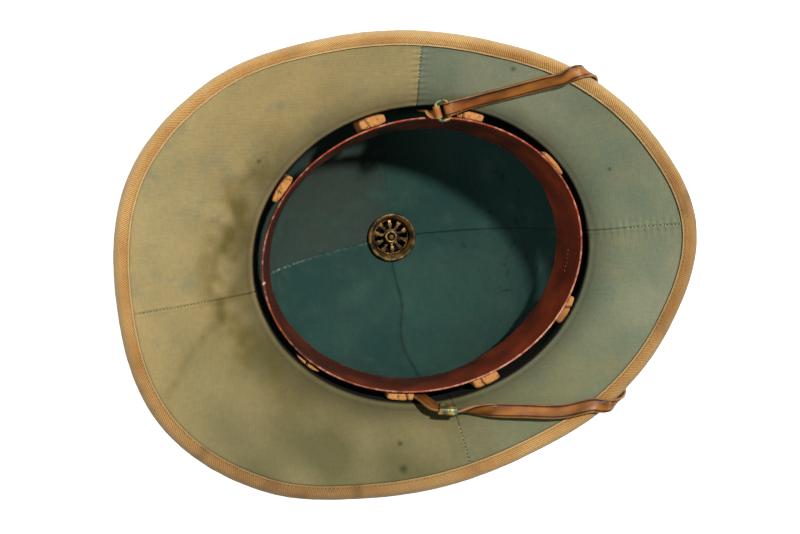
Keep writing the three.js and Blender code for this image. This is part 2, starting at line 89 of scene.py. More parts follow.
def new_material(name):
    material = bpy.data.materials.new(name)
    material.use_nodes = True
    return material, material.node_tree, material.node_tree.nodes["Principled BSDF"]


def finish_piece(mesh, name, material, slot, *replaced):
    """Makes a bmesh one smooth piece that rides on the helmet's only body."""
    data = bpy.data.meshes.new(name)
    for face in mesh.faces:
        face.smooth = True
    mesh.to_mesh(data)
    mesh.free()
    data.materials.append(material)
    piece = bpy.data.objects.new(name, data)
    bpy.context.scene.collection.objects.link(piece)
    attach(piece, "root")
    if replaced:
        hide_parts(*replaced)
    return piece


# The floor is opal white acrylic lit from beneath, as in a studio, so shadows on it stay faint.
opal_acrylic, tree, shader = new_material("opal_acrylic")
shader.inputs["Base Color"].default_value = colour("#F4F3F0")
shader.inputs["Roughness"].default_value = 0.9
shader.inputs["Emission Color"].default_value = colour("#FFFFFF")
shader.inputs["Emission Strength"].default_value = 0.93

mesh = bmesh.new()
bmesh.ops.create_grid(mesh, x_segments=1, y_segments=1, size=6)
data = bpy.data.meshes.new("floor")
mesh.to_mesh(data)
mesh.free()
data.materials.append(opal_acrylic)
floor = bpy.data.objects.new("floor", data)
bpy.context.scene.collection.objects.link(floor)


def soft_lamp(name, bearing, rise, far, size, watts, tint):
    """A disk lamp that faces the helmet from a bearing and a rise, both in degrees, far metres away."""
    turn, tilt = math.radians(bearing), math.radians(rise)
    level = math.cos(tilt)
    place = aim + far * Vector((math.cos(turn) * level, math.sin(turn) * level, math.sin(tilt)))
    lamp_data = bpy.data.lights.new(name, "AREA")
    lamp_data.shape = "DISK"
    lamp_data.size = size
    lamp_data.energy = watts
    lamp_data.color = colour(tint)[:3]
    lamp = bpy.data.objects.new(name, lamp_data)
    bpy.context.scene.collection.objects.link(lamp)
    lamp.location = place
    lamp.rotation_euler = (aim - place).to_track_quat("-Z", "Y").to_euler()


soft_lamp("key_lamp", 49, 61.5, 2.2, 0.15, 66, "#FFF6EA")
soft_lamp("low_fill_lamp", 193, 33, 2.3, 0.9, 13, "#FFF8F0")

world = bpy.data.worlds.new("studio")
world.use_nodes = True
world.node_tree.nodes["Background"].inputs["Color"].default_value = colour("#FFFFFF")
world.node_tree.nodes["Background"].inputs["Strength"].default_value = 0.09
bpy.context.scene.world = world
bpy.context.scene.view_settings.view_transform = "Standard"

# ---- Cork shell and its khaki cover: crown and brim ----
# Sheets of cork are moulded and glued over a block to 5 mm, thinning to 3 mm at the brim. Khaki cotton drill,
# a strong cloth with fine slanting ribs, is stretched over the outside in four panels and glued down.
# Sizes below are in millimetres until a piece's mesh is made.
WALL_LENGTH, WALL_WIDTH = 104.8, 91.3  # half axes of the crown's inner wall where it ends
APEX_Z, WALL_END_Z = 14.5, 111.0
SQUARENESS = 2.3  # the crown's profile and plan are between an ellipse and a box
LIP_RADIUS = 8.0  # the rounded turn from the crown's wall to the brim
FLARE = math.radians(4)  # how much flatter than its chord the brim starts
VENT_HOLE = 13.0
CORK_CROWN, CORK_EDGE = 5.0, 3.0
GAP = 0.3
CLOTH = 1.0
TAPE = 0.8
RIM_RADIUS = (CLOTH + 3 * GAP + CORK_EDGE + 2 * TAPE) / 2
RIM_RISE = (CLOTH + GAP - CORK_EDGE) / 2
# marks along a meridian: the vent's hole, the lining's end, the wall's end, the lip and the brim's edge
CROWN, TUCK, WALL, LIP, BRIM = 0, 1, 2, 3, 4
TUCK_Z = 106.0
# bearing in degrees from the front, reach from the crown's axis, height above the floor
BRIM_EDGE = [
    (0.0, 163.3, 148.0), (22.5, 153.3, 147.0), (45.0, 142.7, 144.6),
    (67.5, 134.6, 142.4), (90.0, 136.8, 142.0), (112.5, 148.3, 143.9),
    (135.0, 170.7, 147.4), (157.5, 187.7, 150.7), (180.0, 188.6, 152.0),
]


def smooth_round(values, bearing):
    """A value at a bearing, by a smooth curve through values that stand evenly round the helmet."""
    place = (bearing % math.tau) / math.tau * len(values)
    index = int(place)
    before, start, end, after = (values[(index + step) % len(values)] for step in (-1, 0, 1, 2))
    share = place - index
    bend = 2 * before - 5 * start + 4 * end - after + share * (3 * (start - end) + after - before)
    return start + 0.5 * share * (end - before + share * bend)


EDGE_REACHES = [reach for _, reach, _ in BRIM_EDGE] + [reach for _, reach, _ in BRIM_EDGE[-2:0:-1]]
EDGE_HEIGHTS = [height for _, _, height in BRIM_EDGE] + [height for _, _, height in BRIM_EDGE[-2:0:-1]]


def oval_reach(half_length, half_width, bearing):
    return 1 / math.hypot(math.cos(bearing) / half_length, math.sin(bearing) / half_width)


def crown_station(bearing, angle):
    """A point of a meridian, as reach, height and the normal that points into the hollow."""
    wall = oval_reach(WALL_LENGTH, WALL_WIDTH, bearing)
    rise = WALL_END_Z - APEX_Z
    reach = wall * math.sin(angle) ** (2 / SQUARENESS)
    drop = rise * max(math.cos(angle), 0) ** (2 / SQUARENESS)
    across = -(reach ** (SQUARENESS - 1)) / wall**SQUARENESS
    upward = drop ** (SQUARENESS - 1) / rise**SQUARENESS
    size = math.hypot(across, upward)
    return reach, WALL_END_Z - drop, across / size, upward / size


def crown_angle(height):
    return math.acos(((WALL_END_Z - height) / (WALL_END_Z - APEX_Z)) ** (SQUARENESS / 2))


@lru_cache(maxsize=None)
def brim_curve(bearing):
    """The brim's inner face along a meridian: start, middle and end of its curve, and its first slope."""
    wall = oval_reach(WALL_LENGTH, WALL_WIDTH, bearing)
    end = Vector((
        smooth_round(EDGE_REACHES, bearing) - RIM_RADIUS,
        smooth_round(EDGE_HEIGHTS, bearing) - RIM_RADIUS / 2,
    ))
    slope = math.atan2(end.y - WALL_END_Z - LIP_RADIUS, end.x - wall - LIP_RADIUS) - FLARE
    start = Vector((
        wall + LIP_RADIUS * (1 - math.sin(slope)),
        WALL_END_Z + LIP_RADIUS * math.cos(slope),
    ))
    middle = start + (end - start).length / 2 * Vector((math.cos(slope), math.sin(slope)))
    return start, middle, end, slope


def station(bearing, mark):
    """The inner face's point and normal where a meridian reaches mark, from CROWN, 0, to BRIM, 4."""
    if mark <= TUCK:
        hole = math.asin((VENT_HOLE / oval_reach(WALL_LENGTH, WALL_WIDTH, bearing)) ** (SQUARENESS / 2))
        return crown_station(bearing, hole + (crown_angle(TUCK_Z) - hole) * mark)
    if mark <= WALL:
        tuck = crown_angle(TUCK_Z)
        return crown_station(bearing, tuck + (math.pi / 2 - tuck) * (mark - TUCK))
    start, middle, end, slope = brim_curve(bearing)
    if mark <= LIP:
        angle = math.pi + (mark - WALL) * (slope - math.pi / 2)
        wall = oval_reach(WALL_LENGTH, WALL_WIDTH, bearing)
        reach = wall + LIP_RADIUS * (1 + math.cos(angle))
        return reach, WALL_END_Z + LIP_RADIUS * math.sin(angle), math.cos(angle), math.sin(angle)
    share = mark - LIP
    point = start * (1 - share) ** 2 + middle * 2 * share * (1 - share) + end * share**2
    along = ((middle - start) * (1 - share) + (end - middle) * share).normalized()
    return point.x, point.y, -along.y, along.x


def raised(bearing, mark, rise):
    """A point above the shell's inner face, or below it where rise is negative."""
    reach, height, across, upward = station(bearing, mark)
    reach += rise * across
    return Vector((reach * math.cos(bearing), reach * math.sin(bearing), height + rise * upward))


def cork_at(mark):
    return CORK_CROWN if mark <= LIP else CORK_CROWN + (CORK_EDGE - CORK_CROWN) * (mark - LIP)


def round_piece(bearings, section, point, flat, extra=None):
    """A closed ring of cloth, leather or cork. section is a closed loop of rows. point and flat give a
    place in millimetres and a place on the flat cloth in millimetres for a bearing and a row."""
    mesh = bmesh.new()
    cloth_map = mesh.loops.layers.uv.new("cloth")
    bmesh.ops.create_grid(mesh, x_segments=len(bearings), y_segments=len(section), size=0.5)
    layers = {name: mesh.verts.layers.float.new(name) for name in (extra or {})}
    spread = {}
    for vertex in mesh.verts:
        column = round((vertex.co.x + 0.5) * len(bearings))
        row = section[round((vertex.co.y + 0.5) * len(section)) % len(section)]
        bearing = bearings[column % len(bearings)]
        vertex.co = point(bearing, row) * MM
        spread[vertex] = [place * MM for place in flat(bearing + math.tau * (column // len(bearings)), row)]
        for name, layer in layers.items():
            vertex[layer] = extra[name](bearing, row)
    for face in mesh.faces:
        for loop in face.loops:
            loop[cloth_map].uv = spread[loop.vert]
    bmesh.ops.remove_doubles(mesh, verts=mesh.verts, dist=1e-7)
    bmesh.ops.recalc_face_normals(mesh, faces=mesh.faces)
    return mesh


def evenly(count):
    return [math.tau * i / count for i in range(count)]


def steps(first, last, count):
    return [first + (last - first) * i / count for i in range(count + 1)]


@lru_cache(maxsize=None)
def travel(bearing):
    """Distances along a meridian from the crown's axis, at 24 places for each mark."""
    distances, last = [], None
    for i in range(24 * BRIM + 1):
        reach, height, _, _ = station(bearing, i / 24)
        here = Vector((reach, height))
        distances.append(reach if last is None else distances[-1] + (here - last).length)
        last = here
    return distances


def distance(bearing, mark):
    place = min(max(mark, 0), BRIM) * 24
    index = min(int(place), 24 * BRIM - 1)
    distances = travel(bearing)
    return distances[index] + (distances[index + 1] - distances[index]) * (place - index)


def laid_flat(bearing, mark):
    """A point's place on cloth that is peeled off the crown like a round label."""
    out = distance(bearing, mark)
    return out * math.cos(bearing), out * math.sin(bearing)


def blotch(point, size, seed):
    """Smooth noise from -1 to 1 that varies over size millimetres."""
    return noise.noise(point / size + Vector((seed * 7.3, seed * 3.1, seed * 5.7)))


def near(value, middle, width):
    """1 at middle, falling smoothly to nothing about width away."""
    return math.exp(-(((value - middle) / width) ** 2))


def turn_between(bearing, other):
    return (bearing - other + math.pi) % math.tau - math.pi


def object_place(tree):
    return node(tree, "ShaderNodeTexCoord").outputs["Object"]


def mottle(tree, place, scale, **inputs):
    return node(tree, "ShaderNodeTexNoise", {"Vector": place, "Scale": scale, **inputs}).outputs["Fac"]


def ranged(tree, value, low, high, to_low=0.0, to_high=1.0, curve="LINEAR"):
    """A value's way from low to high, as a value from to_low to to_high."""
    return node(tree, "ShaderNodeMapRange", {"Value": value, "From Min": low, "From Max": high,
        "To Min": to_low, "To Max": to_high}, interpolation_type=curve).outputs["Result"]


def combined(tree, first, second, operation="ADD"):
    return node(tree, "ShaderNodeMath", {0: first, 1: second}, operation=operation).outputs["Value"]


def mixed(tree, share, first, second, blend="MIX"):
    return node(tree, "ShaderNodeMix", {"Factor": share, "A": first, "B": second},
        data_type="RGBA", blend_type=blend).outputs["Result"]


def add_bump(tree, shader, height, strength, depth):
    bump = node(tree, "ShaderNodeBump", {"Height": height, "Strength": strength, "Distance": depth})
    tree.links.new(bump.outputs["Normal"], shader.inputs["Normal"])


# Khaki cotton drill: a warp-faced twill, dyed before weaving, so it is dull with fine slanting ribs. The ribs
# are 0.7 mm apart in the real cloth and 1.4 mm here, to show.
RIB = 1.4 * MM


def twill_material(name, deep, pale, dust, slant, roughness, rib, handled=None):
    """Twill with its ribs at slant degrees. handled gives the cloth's colour its marks of use, and on the
    tape its painted shade.
    """
    material, tree, shader = new_material(name)
    cloth = node(tree, "ShaderNodeUVMap", uv_map="cloth").outputs["UV"]
    turned = node(tree, "ShaderNodeMapping", {"Vector": cloth, "Rotation": (0, 0, math.radians(slant))})
    turned = turned.outputs["Vector"]
    ribs = node(tree, "ShaderNodeTexWave", {"Vector": turned, "Scale": 0.314 / rib, "Distortion": 0.6,
        "Detail": 2.0, "Detail Scale": 2.0}, wave_type="BANDS", bands_direction="X").outputs["Fac"]
    yarn = mottle(tree, turned, 0.9 / rib, Detail=3.0)
    worn = ranged(tree, mottle(tree, object_place(tree), 22.0, Detail=6.0, Roughness=0.6), 0.38, 0.66)
    dusted = mixed(tree, worn, mixed(tree, ribs, colour(deep), colour(pale)), colour(dust), "MULTIPLY")
    speckled = mixed(tree, 0.35, dusted, yarn, "OVERLAY")
    tree.links.new(handled(tree, speckled) if handled else speckled, shader.inputs["Base Color"])
    add_bump(tree, shader, combined(tree, ribs, yarn), 0.5, 0.25 * MM)
    shader.inputs["Roughness"].default_value = roughness
    shader.inputs["Sheen Weight"].default_value = 0.15
    shader.inputs["Sheen Roughness"].default_value = 0.6
    return material


khaki_drill = twill_material("khaki_cotton_drill", "#8F6E3C", "#BC9A63", "#C9B891", 52, 0.88, RIB)

COVER_SEAMS = [math.radians(degrees) for degrees in (2, 89.5, 183, 275)]


def cover_seam(bearing, reach):
    """The cover's panels are lapped: a low ridge stands over each join."""
    nearest = min(abs(turn_between(bearing, seam)) for seam in COVER_SEAMS) * reach
    return 0.35 * near(nearest, 0, 1.6)


def shell_point(bearing, row):
    mark, outside = row
    if not outside:
        return raised(bearing, mark, 0)
    reach = station(bearing, mark)[0]
    fade = 1 if mark < 3.7 else 0
    return raised(bearing, mark, -cork_at(mark) - fade * cover_seam(bearing, reach))


JOIN = 0.83  # the mark where the crown's node meets the brim's, under the hat band


def shell_section(first, last, count):
    outside = [(mark, True) for mark in steps(first, last, count)]
    inside = [(mark, False) for mark in steps(last, first, count // 2)]
    return outside + inside


def seam_bearings(count, seams, half_width, extra):
    """Even bearings, with more of them close to each seam."""
    wanted = evenly(count)
    for seam in seams:
        wanted += [(seam + half_width * (2 * i / extra - 1)) % math.tau for i in range(extra + 1)]
    wanted.sort()
    kept = [wanted[0]]
    for bearing in wanted[1:]:
        if bearing - kept[-1] > half_width / extra:
            kept.append(bearing)
    return kept


def outer_flat(bearing, row):
    return laid_flat(bearing, row[0])


cover_bearings = seam_bearings(220, COVER_SEAMS, 0.03, 10)
crown_mesh = round_piece(cover_bearings, shell_section(CROWN, JOIN, 44), shell_point, outer_flat)
finish_piece(crown_mesh, "crown_cover", khaki_drill, "khaki_drill", "pith_crown")

brim_mesh = round_piece(cover_bearings, shell_section(JOIN + 0.004, BRIM, 60), shell_point, outer_flat)
finish_piece(brim_mesh, "brim_cover", khaki_drill, "khaki_drill", "pith_brim")

# ---- Crown lining ----
# Dark green cotton, cut in four gores that meet at the vent and glued to the cork. It sits unevenly, with
# creases where the glue has let go. The gores are lapped and sewn with dark thread, and the seam over the
# wearer's left ear has come loose and wavers.
LINING_SEAMS = [math.radians(degrees) for degrees in (-1, 92, 185, 268)]
LOOSE_SEAM = 3


def lining_seam_offset(bearing, where):
    """The distance across to the nearest seam, and the seam's number."""
    reach = math.hypot(where.x, where.y)
    offsets = []
    for number, seam in enumerate(LINING_SEAMS):
        waver = 2.4 * math.sin(reach / 8.5) * min(1, reach / 50) if number == LOOSE_SEAM else 0
        offsets.append((turn_between(bearing, seam) * reach + waver, number))
    return min(offsets, key=lambda offset: abs(offset[0]))


def lining_rise(bearing, mark):
    where = raised(bearing, mark, 0)
    across, number = lining_seam_offset(bearing, where)
    lap = 0.3 / (1 + math.exp(-across * 3)) * near(across, 0, 7) - 0.3 * near(across, 0, 0.5)
    folds = abs(blotch(where, 16, 1)) ** 0.6 * 0.5 + 0.25 * blotch(where, 6, 2)
    loose = 0.5 * near(across, 0, 5) * abs(blotch(where, 7, 15)) if number == LOOSE_SEAM else 0
    return lap + folds * 0.7 + loose


def lining_point(bearing, row):
    mark, rise = row
    if rise < GAP + CLOTH / 2:
        return raised(bearing, mark, rise)
    edge_fade = min(1, mark / 0.04, (TUCK - mark) / 0.02)
    return raised(bearing, mark, rise + edge_fade * lining_rise(bearing, mark))


def plain_weave_material(name, thread, build_colour, bump_depth, roughness):
    """Plain weave cotton: over-and-under threads make fine squares, duller where the cloth is rubbed."""
    material, tree, shader = new_material(name)
    cloth = node(tree, "ShaderNodeUVMap", uv_map="cloth").outputs["UV"]
    slub = node(tree, "ShaderNodeTexNoise", {"Vector": cloth, "Scale": 0.12 / thread, "Detail": 2.0})
    strayed = node(tree, "ShaderNodeMix", {"Factor": 0.0006, "A": cloth, "B": slub.outputs["Color"]},
        data_type="VECTOR").outputs["Result"]
    weave = [
        node(tree, "ShaderNodeTexWave", {"Vector": strayed, "Scale": 0.314 / thread, "Distortion": 0.8,
            "Detail": 1.0}, wave_type="BANDS", bands_direction=direction).outputs["Fac"]
        for direction in ("X", "Y")
    ]
    stretched = [
        node(tree, "ShaderNodeMapping", {"Vector": cloth, "Scale": scale}).outputs["Vector"]
        for scale in ((1, 0.3, 1), (0.3, 1, 1))
    ]
    streaks = [mottle(tree, way, 0.5 / thread, Detail=4.0) for way in stretched]
    relief = combined(tree, combined(tree, *weave, "MULTIPLY"), combined(tree, *streaks))
    tone = ranged(tree, relief, 0.7, 1.9, 0.82, 1.12)
    dyed = build_colour(tree)
    lit = node(tree, "ShaderNodeVectorMath", {0: dyed, "Scale": tone}, operation="SCALE").outputs["Vector"]
    tree.links.new(lit, shader.inputs["Base Color"])
    add_bump(tree, shader, relief, 0.45, bump_depth)
    shader.inputs["Roughness"].default_value = roughness
    shader.inputs["Specular IOR Level"].default_value = 0.25
    return material


def attribute(tree, name):
    return node(tree, "ShaderNodeAttribute", attribute_name=name).outputs["Fac"]


def patches(tree, size, low, high, detail=5.0):
    """A noise mask with soft edges, its patches about size millimetres across."""
    rough = mottle(tree, object_place(tree), 0.5 / (size * MM), Detail=detail)
    return ranged(tree, rough, low, high, curve="SMOOTHSTEP")


def lining_colour(tree):
    dyed = mixed(tree, patches(tree, 34, 0.4, 0.62), colour("#1C3D3B"), colour("#264742"))
    faded = mixed(tree, attribute(tree, "fading"), dyed, colour("#343F3A"))
    grey = mixed(tree, patches(tree, 9, 0.5, 0.8), faded, colour("#2F4A44"))
    rubbed = mixed(tree, attribute(tree, "rubbed"), grey, colour("#8FA093"))
    marked = mixed(tree, attribute(tree, "marks"), rubbed, colour("#0A1917"))
    # Painted shade: the cloth in the gap behind the sweatband is near black.
    return mixed(tree, attribute(tree, "gap_shade"), marked, colour("#040606"))


LINING_THREAD = 1.1 * MM  # the real thread is 0.5 mm; this is as fine as shows
green_cotton = plain_weave_material("green_cotton_lining", LINING_THREAD, lining_colour, 0.2 * MM, 0.9)


def lining_fading(bearing, row):
    """The gore at the back on the wearer's right is greyer than the others."""
    where = raised(bearing, row[0], 0)
    reach = math.hypot(where.x, where.y)
    from_seams = [turn_between(bearing, LINING_SEAMS[number]) * reach for number in (1, 2)]
    gore = 0.5 + 0.5 * math.tanh(from_seams[0] / 5) if bearing < LINING_SEAMS[2] else 0
    gore *= 0.5 - 0.5 * math.tanh(from_seams[1] / 3)
    return max(0, min(1, 0.8 * gore + 0.3 * blotch(where, 30, 3)))


def lining_rubbed(bearing, row):
    """Pale fluff on the seam towards the back, and a scratch below it."""
    where = raised(bearing, row[0], 0)
    across, number = lining_seam_offset(bearing, where)
    fluff = near(across, 0.6, 0.7) * max(0, blotch(where, 2, 16) + 0.25) if number == 2 else 0
    scratch = near(where.x * 0.5 + where.y + 92, 0, 0.7) * near(where.x, -70, 3)
    return max(0, min(0.8, fluff * (0.3 + 0.7 * near(math.hypot(where.x, where.y), 82, 16)) + 0.7 * scratch))


# x, y and the slant in degrees of dark thread ends and small cuts, on the front gores
THREAD_ENDS = [
    (76, -11, 60), (71, -20, 62), (70, -30, 70), (67, -41, 5),
    (86, -27, 75), (81, 24, 120), (68, 37, 125), (79, 3, 115),
]


def lining_marks(bearing, row):
    """Dark seam lines, thread ends and rubbed spots."""
    where = raised(bearing, row[0], 0)
    across, number = lining_seam_offset(bearing, where)
    strength = (0.85, 0.12, 0.3, 0.55)[number]
    broken = 0.7 + 0.6 * blotch(where, 4, 17)
    seam = strength * near(across, 0, (0.55, 0.5, 0.6, 1.3)[number]) * broken
    ends = 0
    for x, y, slant in THREAD_ENDS:
        if abs(where.x - x) < 6 and abs(where.y - y) < 6:
            lean = math.radians(slant)
            along = (where.x - x) * math.cos(lean) + (where.y - y) * math.sin(lean)
            aside = (where.y - y) * math.cos(lean) - (where.x - x) * math.sin(lean)
            ends += 0.9 * near(along, 0, 2.4) * near(aside, 0, 0.5)
    spots = max(0, blotch(where, 5, 4) - 0.45) * 3 * near(where.x, 60, 26) * near(where.y, 4, 40)
    return max(0, min(1, seam + ends + spots))


def lining_gap_shade(bearing, row):
    """Painted shade: the cloth in the gap behind the sweatband is darkened to near black."""
    lowest = 80 - 24 * near(turn_between(bearing, math.radians(160)), 0, 0.9)
    return max(0, min(1, (station(bearing, row[0])[1] - lowest) / 5))


lining_section = [(mark, GAP + CLOTH) for mark in steps(CROWN, TUCK, 90)]
lining_section += [(mark, GAP) for mark in steps(TUCK, CROWN, 20)]
lining_bearings = seam_bearings(380, LINING_SEAMS, 0.05, 24)
lining_mesh = round_piece(lining_bearings, lining_section, lining_point, outer_flat,
    {"fading": lining_fading, "rubbed": lining_rubbed, "marks": lining_marks, "gap_shade": lining_gap_shade})
lining = finish_piece(lining_mesh, "lining", green_cotton, "green_cotton", "crown_lining")

# ---- Brim underlay ----
# The same cotton, faded by light and handling. Four panels are butted and oversewn by hand, and glued to the
# cork from inside the crown's lip out to the bound edge. Sweat has stained it beside the opening at the back.
UNDERLAY_SEAMS = [math.radians(degrees) for degrees in (1, 86.8, 183.5, 275)]
# How far the seam at the back leans from straight towards the middle, for each millimetre of reach
BACK_SEAM_LEAN = math.radians(0.031)


def leaned(seam, reach):
    return seam - BACK_SEAM_LEAN * (reach - 140) if seam == UNDERLAY_SEAMS[2] else seam


def seam_offset(bearing, where):
    reach = math.hypot(where.x, where.y)
    return min((turn_between(bearing, leaned(seam, reach)) * reach for seam in UNDERLAY_SEAMS), key=abs)


def underlay_rise(bearing, mark):
    where = raised(bearing, mark, 0)
    across = seam_offset(bearing, where)
    butt = -0.45 * near(across, 0, 0.35) + 0.2 * near(abs(across), 1.4, 0.9)
    pucker = 0.16 * near(across, 0, 5) * math.sin(distance(bearing, mark) * 1.5)
    surface = 0.28 * blotch(where, 22, 5) + 0.1 * blotch(where, 7, 6)
    return butt + pucker + surface + 0.25


def underlay_point(bearing, row):
    mark, rise = row
    if rise < GAP + CLOTH / 2:
        return raised(bearing, mark, rise)
    fade = min(1, (mark - TUCK) / 0.3, (BRIM - mark) / 0.12)
    return raised(bearing, mark, rise + fade * underlay_rise(bearing, mark))


def underlay_colour(tree):
    """Tan at the back, grey-green at the front, with the dye uneven everywhere."""
    back = mixed(tree, patches(tree, 46, 0.36, 0.64), colour("#B09C6C"), colour("#9C8E62"))
    front = mixed(tree, patches(tree, 40, 0.38, 0.62), colour("#74806A"), colour("#848C76"))
    dyed = mixed(tree, attribute(tree, "front"), back, front)
    mottled = mixed(tree, patches(tree, 7, 0.5, 0.85), dyed, colour("#86846A"))
    bluish = mixed(tree, attribute(tree, "bluish"), mottled, colour("#506E68"))
    shaded = mixed(tree, attribute(tree, "drab"), bluish, colour("#5F5E40"))
    stained = mixed(tree, attribute(tree, "stain"), shaded, colour("#584F1E"))
    # Darker with dirt in the seams and spots, and with painted shade on the lip and under the tape's edge.
    dirtied_and_shaded = mixed(tree, attribute(tree, "dirt"), stained, colour("#2A2818"))
    # Painted shade: inside the opening the cloth is near black.
    return mixed(tree, attribute(tree, "gap_shade"), dirtied_and_shaded, colour("#060706"))


UNDERLAY_THREAD = 1.1 * MM
faded_cotton = plain_weave_material("faded_green_cotton", UNDERLAY_THREAD, underlay_colour, 0.2 * MM, 0.92)


def front_share(bearing, row):
    """Each panel has faded on its own, so the tone steps at the side seams."""
    where = raised(bearing, row[0], 0)
    front_panel = UNDERLAY_SEAMS[3] < bearing or bearing < UNDERLAY_SEAMS[1]
    level = 0.85 + 0.002 * where.x if front_panel else 0.08 + 0.25 * near(where.y, -130, 60)
    return max(0, min(1, level + 0.25 * blotch(where, 60, 7)))


def bluish_share(bearing, row):
    """Where the dye has kept its blue: beside the seam on the wearer's right and in a few blots."""
    where = raised(bearing, row[0], 0)
    from_side_seam = abs(turn_between(bearing, UNDERLAY_SEAMS[1])) * math.hypot(where.x, where.y)
    seam = 0.4 * near(from_side_seam, 0, 22) * (1 if bearing < UNDERLAY_SEAMS[1] else 0.15)
    blots = max(0, blotch(where, 24, 8)) * 0.6 * (1 if where.x > 0 else 0.15)
    return max(0, min(1, seam + blots))


# How far the cloth is darkened at the bound edge and at the opening: bearing in degrees, edge, opening
DRABNESS = [
    (0, 0.10, 0.10), (45, 0.08, 0.10), (90, 0.08, 0.20), (135, 0.08, 0.45),
    (180, 0.02, 0.46), (225, 0.80, 1.00), (270, 0.82, 0.98), (315, 0.30, 0.34),
]


def drab_share(bearing, row):
    where = raised(bearing, row[0], 0)
    outer, inner = (smooth_round([drab[column] for drab in DRABNESS], bearing) for column in (1, 2))
    inward = max(0, min(1, 1 - (row[0] - LIP)))
    level = outer + (inner - outer) * inward**1.4
    return max(0, min(1, level * (1 + 0.5 * blotch(where, 32, 18))))


TIDE_LINE = [Vector(point) for point in ((-126, -6), (-128, -22), (-138, -26), (-149, -36), (-165, -57))]


def from_tide_line(where):
    """How far a place is from the edge of the old tide mark."""
    gaps = []
    for start, end in zip(TIDE_LINE, TIDE_LINE[1:]):
        share = max(0, min(1, (where.xy - start).dot(end - start) / (end - start).length_squared))
        gaps.append((where.xy - start.lerp(end, share)).length)
    return min(gaps)


def stain_share(bearing, row):
    """A tide mark of sweat behind the opening, heaviest towards the back, with one faint yellow edge."""
    where = raised(bearing, row[0], 0)
    beside = near(distance(bearing, row[0]), distance(bearing, LIP) + 14, 15)
    back = near(turn_between(bearing, math.radians(176)), 0, 0.7)
    ragged = 0.5 + 0.9 * blotch(where, 20, 9) + 0.5 * blotch(where, 7, 10)
    tide = 0.24 * near(from_tide_line(where), 0, 3.0) if where.x < -110 and where.y < 10 else 0
    return max(0, min(0.8, beside * back * ragged * 1.2 + tide * (1 + blotch(where, 6, 33))))


SPOTS = [(-30, -125, 2.2), (-29, -111, 1.4), (-95, 70, 1.2), (62, 108, 1.2), (70, 112, 1.0), (118, 40, 1.0)]
TAPE_COVER = 4.8  # how far the edge tape reaches past its fold, over the underlay


def dirt_and_shade_share(bearing, row):
    """Dark in the seams and in a few spots, and painted shade on the lip at the opening and in the corner
    under the tape's edge.
    """
    where = raised(bearing, row[0], 0)
    across = abs(seam_offset(bearing, where))
    outward = max(0, min(1, row[0] - LIP))
    seam = (0.35 + 0.5 * outward) * near(across, 0, 0.4) * (0.8 + 0.5 * blotch(where, 3, 19))
    to_tape = distance(bearing, BRIM) - TAPE_COVER - distance(bearing, row[0])
    # Painted shadow of the tape's edge, in the corner beside it.
    corner = 0.85 * near(to_tape, 0.1, 0.75)
    # Painted shade over the rounded lip at the opening.
    lip_shade = 0.55 * near(row[0], LIP - 0.1, 0.25)
    spots = sum(0.8 * near(math.hypot(where.x - x, where.y - y), 0, size) for x, y, size in SPOTS)
    return max(0, min(1, seam + corner + lip_shade + spots))


def opening_gap_shade(bearing, row):
    """Painted shade: inside the opening the cloth is darkened as black as the lining behind the sweatband."""
    return max(0, min(1, (LIP - 0.42 - row[0]) / 0.2))


underlay_section = [(mark, GAP + CLOTH) for mark in steps(TUCK + 0.06, LIP, 26)]
underlay_section += [(mark, GAP + CLOTH) for mark in steps(LIP, BRIM, 96)[1:]]
underlay_section += [(mark, GAP) for mark in steps(BRIM, TUCK + 0.06, 16)]
underlay_bearings = seam_bearings(560, UNDERLAY_SEAMS, 0.03, 26)
underlay_mesh = round_piece(underlay_bearings, underlay_section, underlay_point, outer_flat,
    {"front": front_share, "bluish": bluish_share, "drab": drab_share, "stain": stain_share,
     "dirt": dirt_and_shade_share, "gap_shade": opening_gap_shade})
underlay = finish_piece(underlay_mesh, "underlay", faded_cotton, "faded_green_cotton", "brim_underlay")

# ---- Edge binding ----
# Cotton twill tape 20 mm wide, folded over the raw edge of cork and cloth and machine stitched through close
# to its selvages. It is golden where hands have oiled it and greyer on the rubbed outer fold.


def tape_wear_and_shade(tree, cloth_colour):
    greyed = mixed(tree, attribute(tree, "fold"), cloth_colour, colour("#A59470"))
    selvage = mixed(tree, attribute(tree, "selvage"), greyed, colour("#D9C594"))
    # Dust in the stitches, and painted shade towards the wearer's left and at the front.
    return mixed(tree, attribute(tree, "grime_and_shade"), selvage, colour("#5A4220"))


TAPE_RIB = 1.15 * MM  # the real ribs are 0.8 mm apart
TAPE_HALF = TAPE_COVER + RIM_RADIUS * math.pi / 2
tape_tan = twill_material("khaki_twill_tape", "#9C7438", "#DDB574", "#DDC79A", 32, 0.85, TAPE_RIB, tape_wear_and_shade)


@lru_cache(maxsize=None)
def brim_length(bearing):
    return distance(bearing, BRIM) - distance(bearing, LIP)


def tape_row(bearing, along, inset):
    """A point of the tape's section: along runs from -1, its sewn edge above, round the fold to 1 beneath."""
    fold = 0.515  # the share of the section, each way, that goes round the rim
    radius = RIM_RADIUS - inset
    if abs(along) <= fold:
        angle = -along / fold * math.pi / 2
        reach, height, across, upward = station(bearing, BRIM)
        out = radius * math.cos(angle)
        rise = RIM_RISE + radius * math.sin(angle)
        reach += out * upward + rise * across
        height += -out * across + rise * upward
        return Vector((reach * math.cos(bearing), reach * math.sin(bearing), height))
    back = (abs(along) - fold) / (1 - fold) * TAPE_COVER
    mark = BRIM - back / brim_length(bearing)
    if along < 0:
        return raised(bearing, mark, CLOTH + 2 * GAP + TAPE - inset)
    return raised(bearing, mark, -cork_at(mark) - GAP - TAPE + inset)


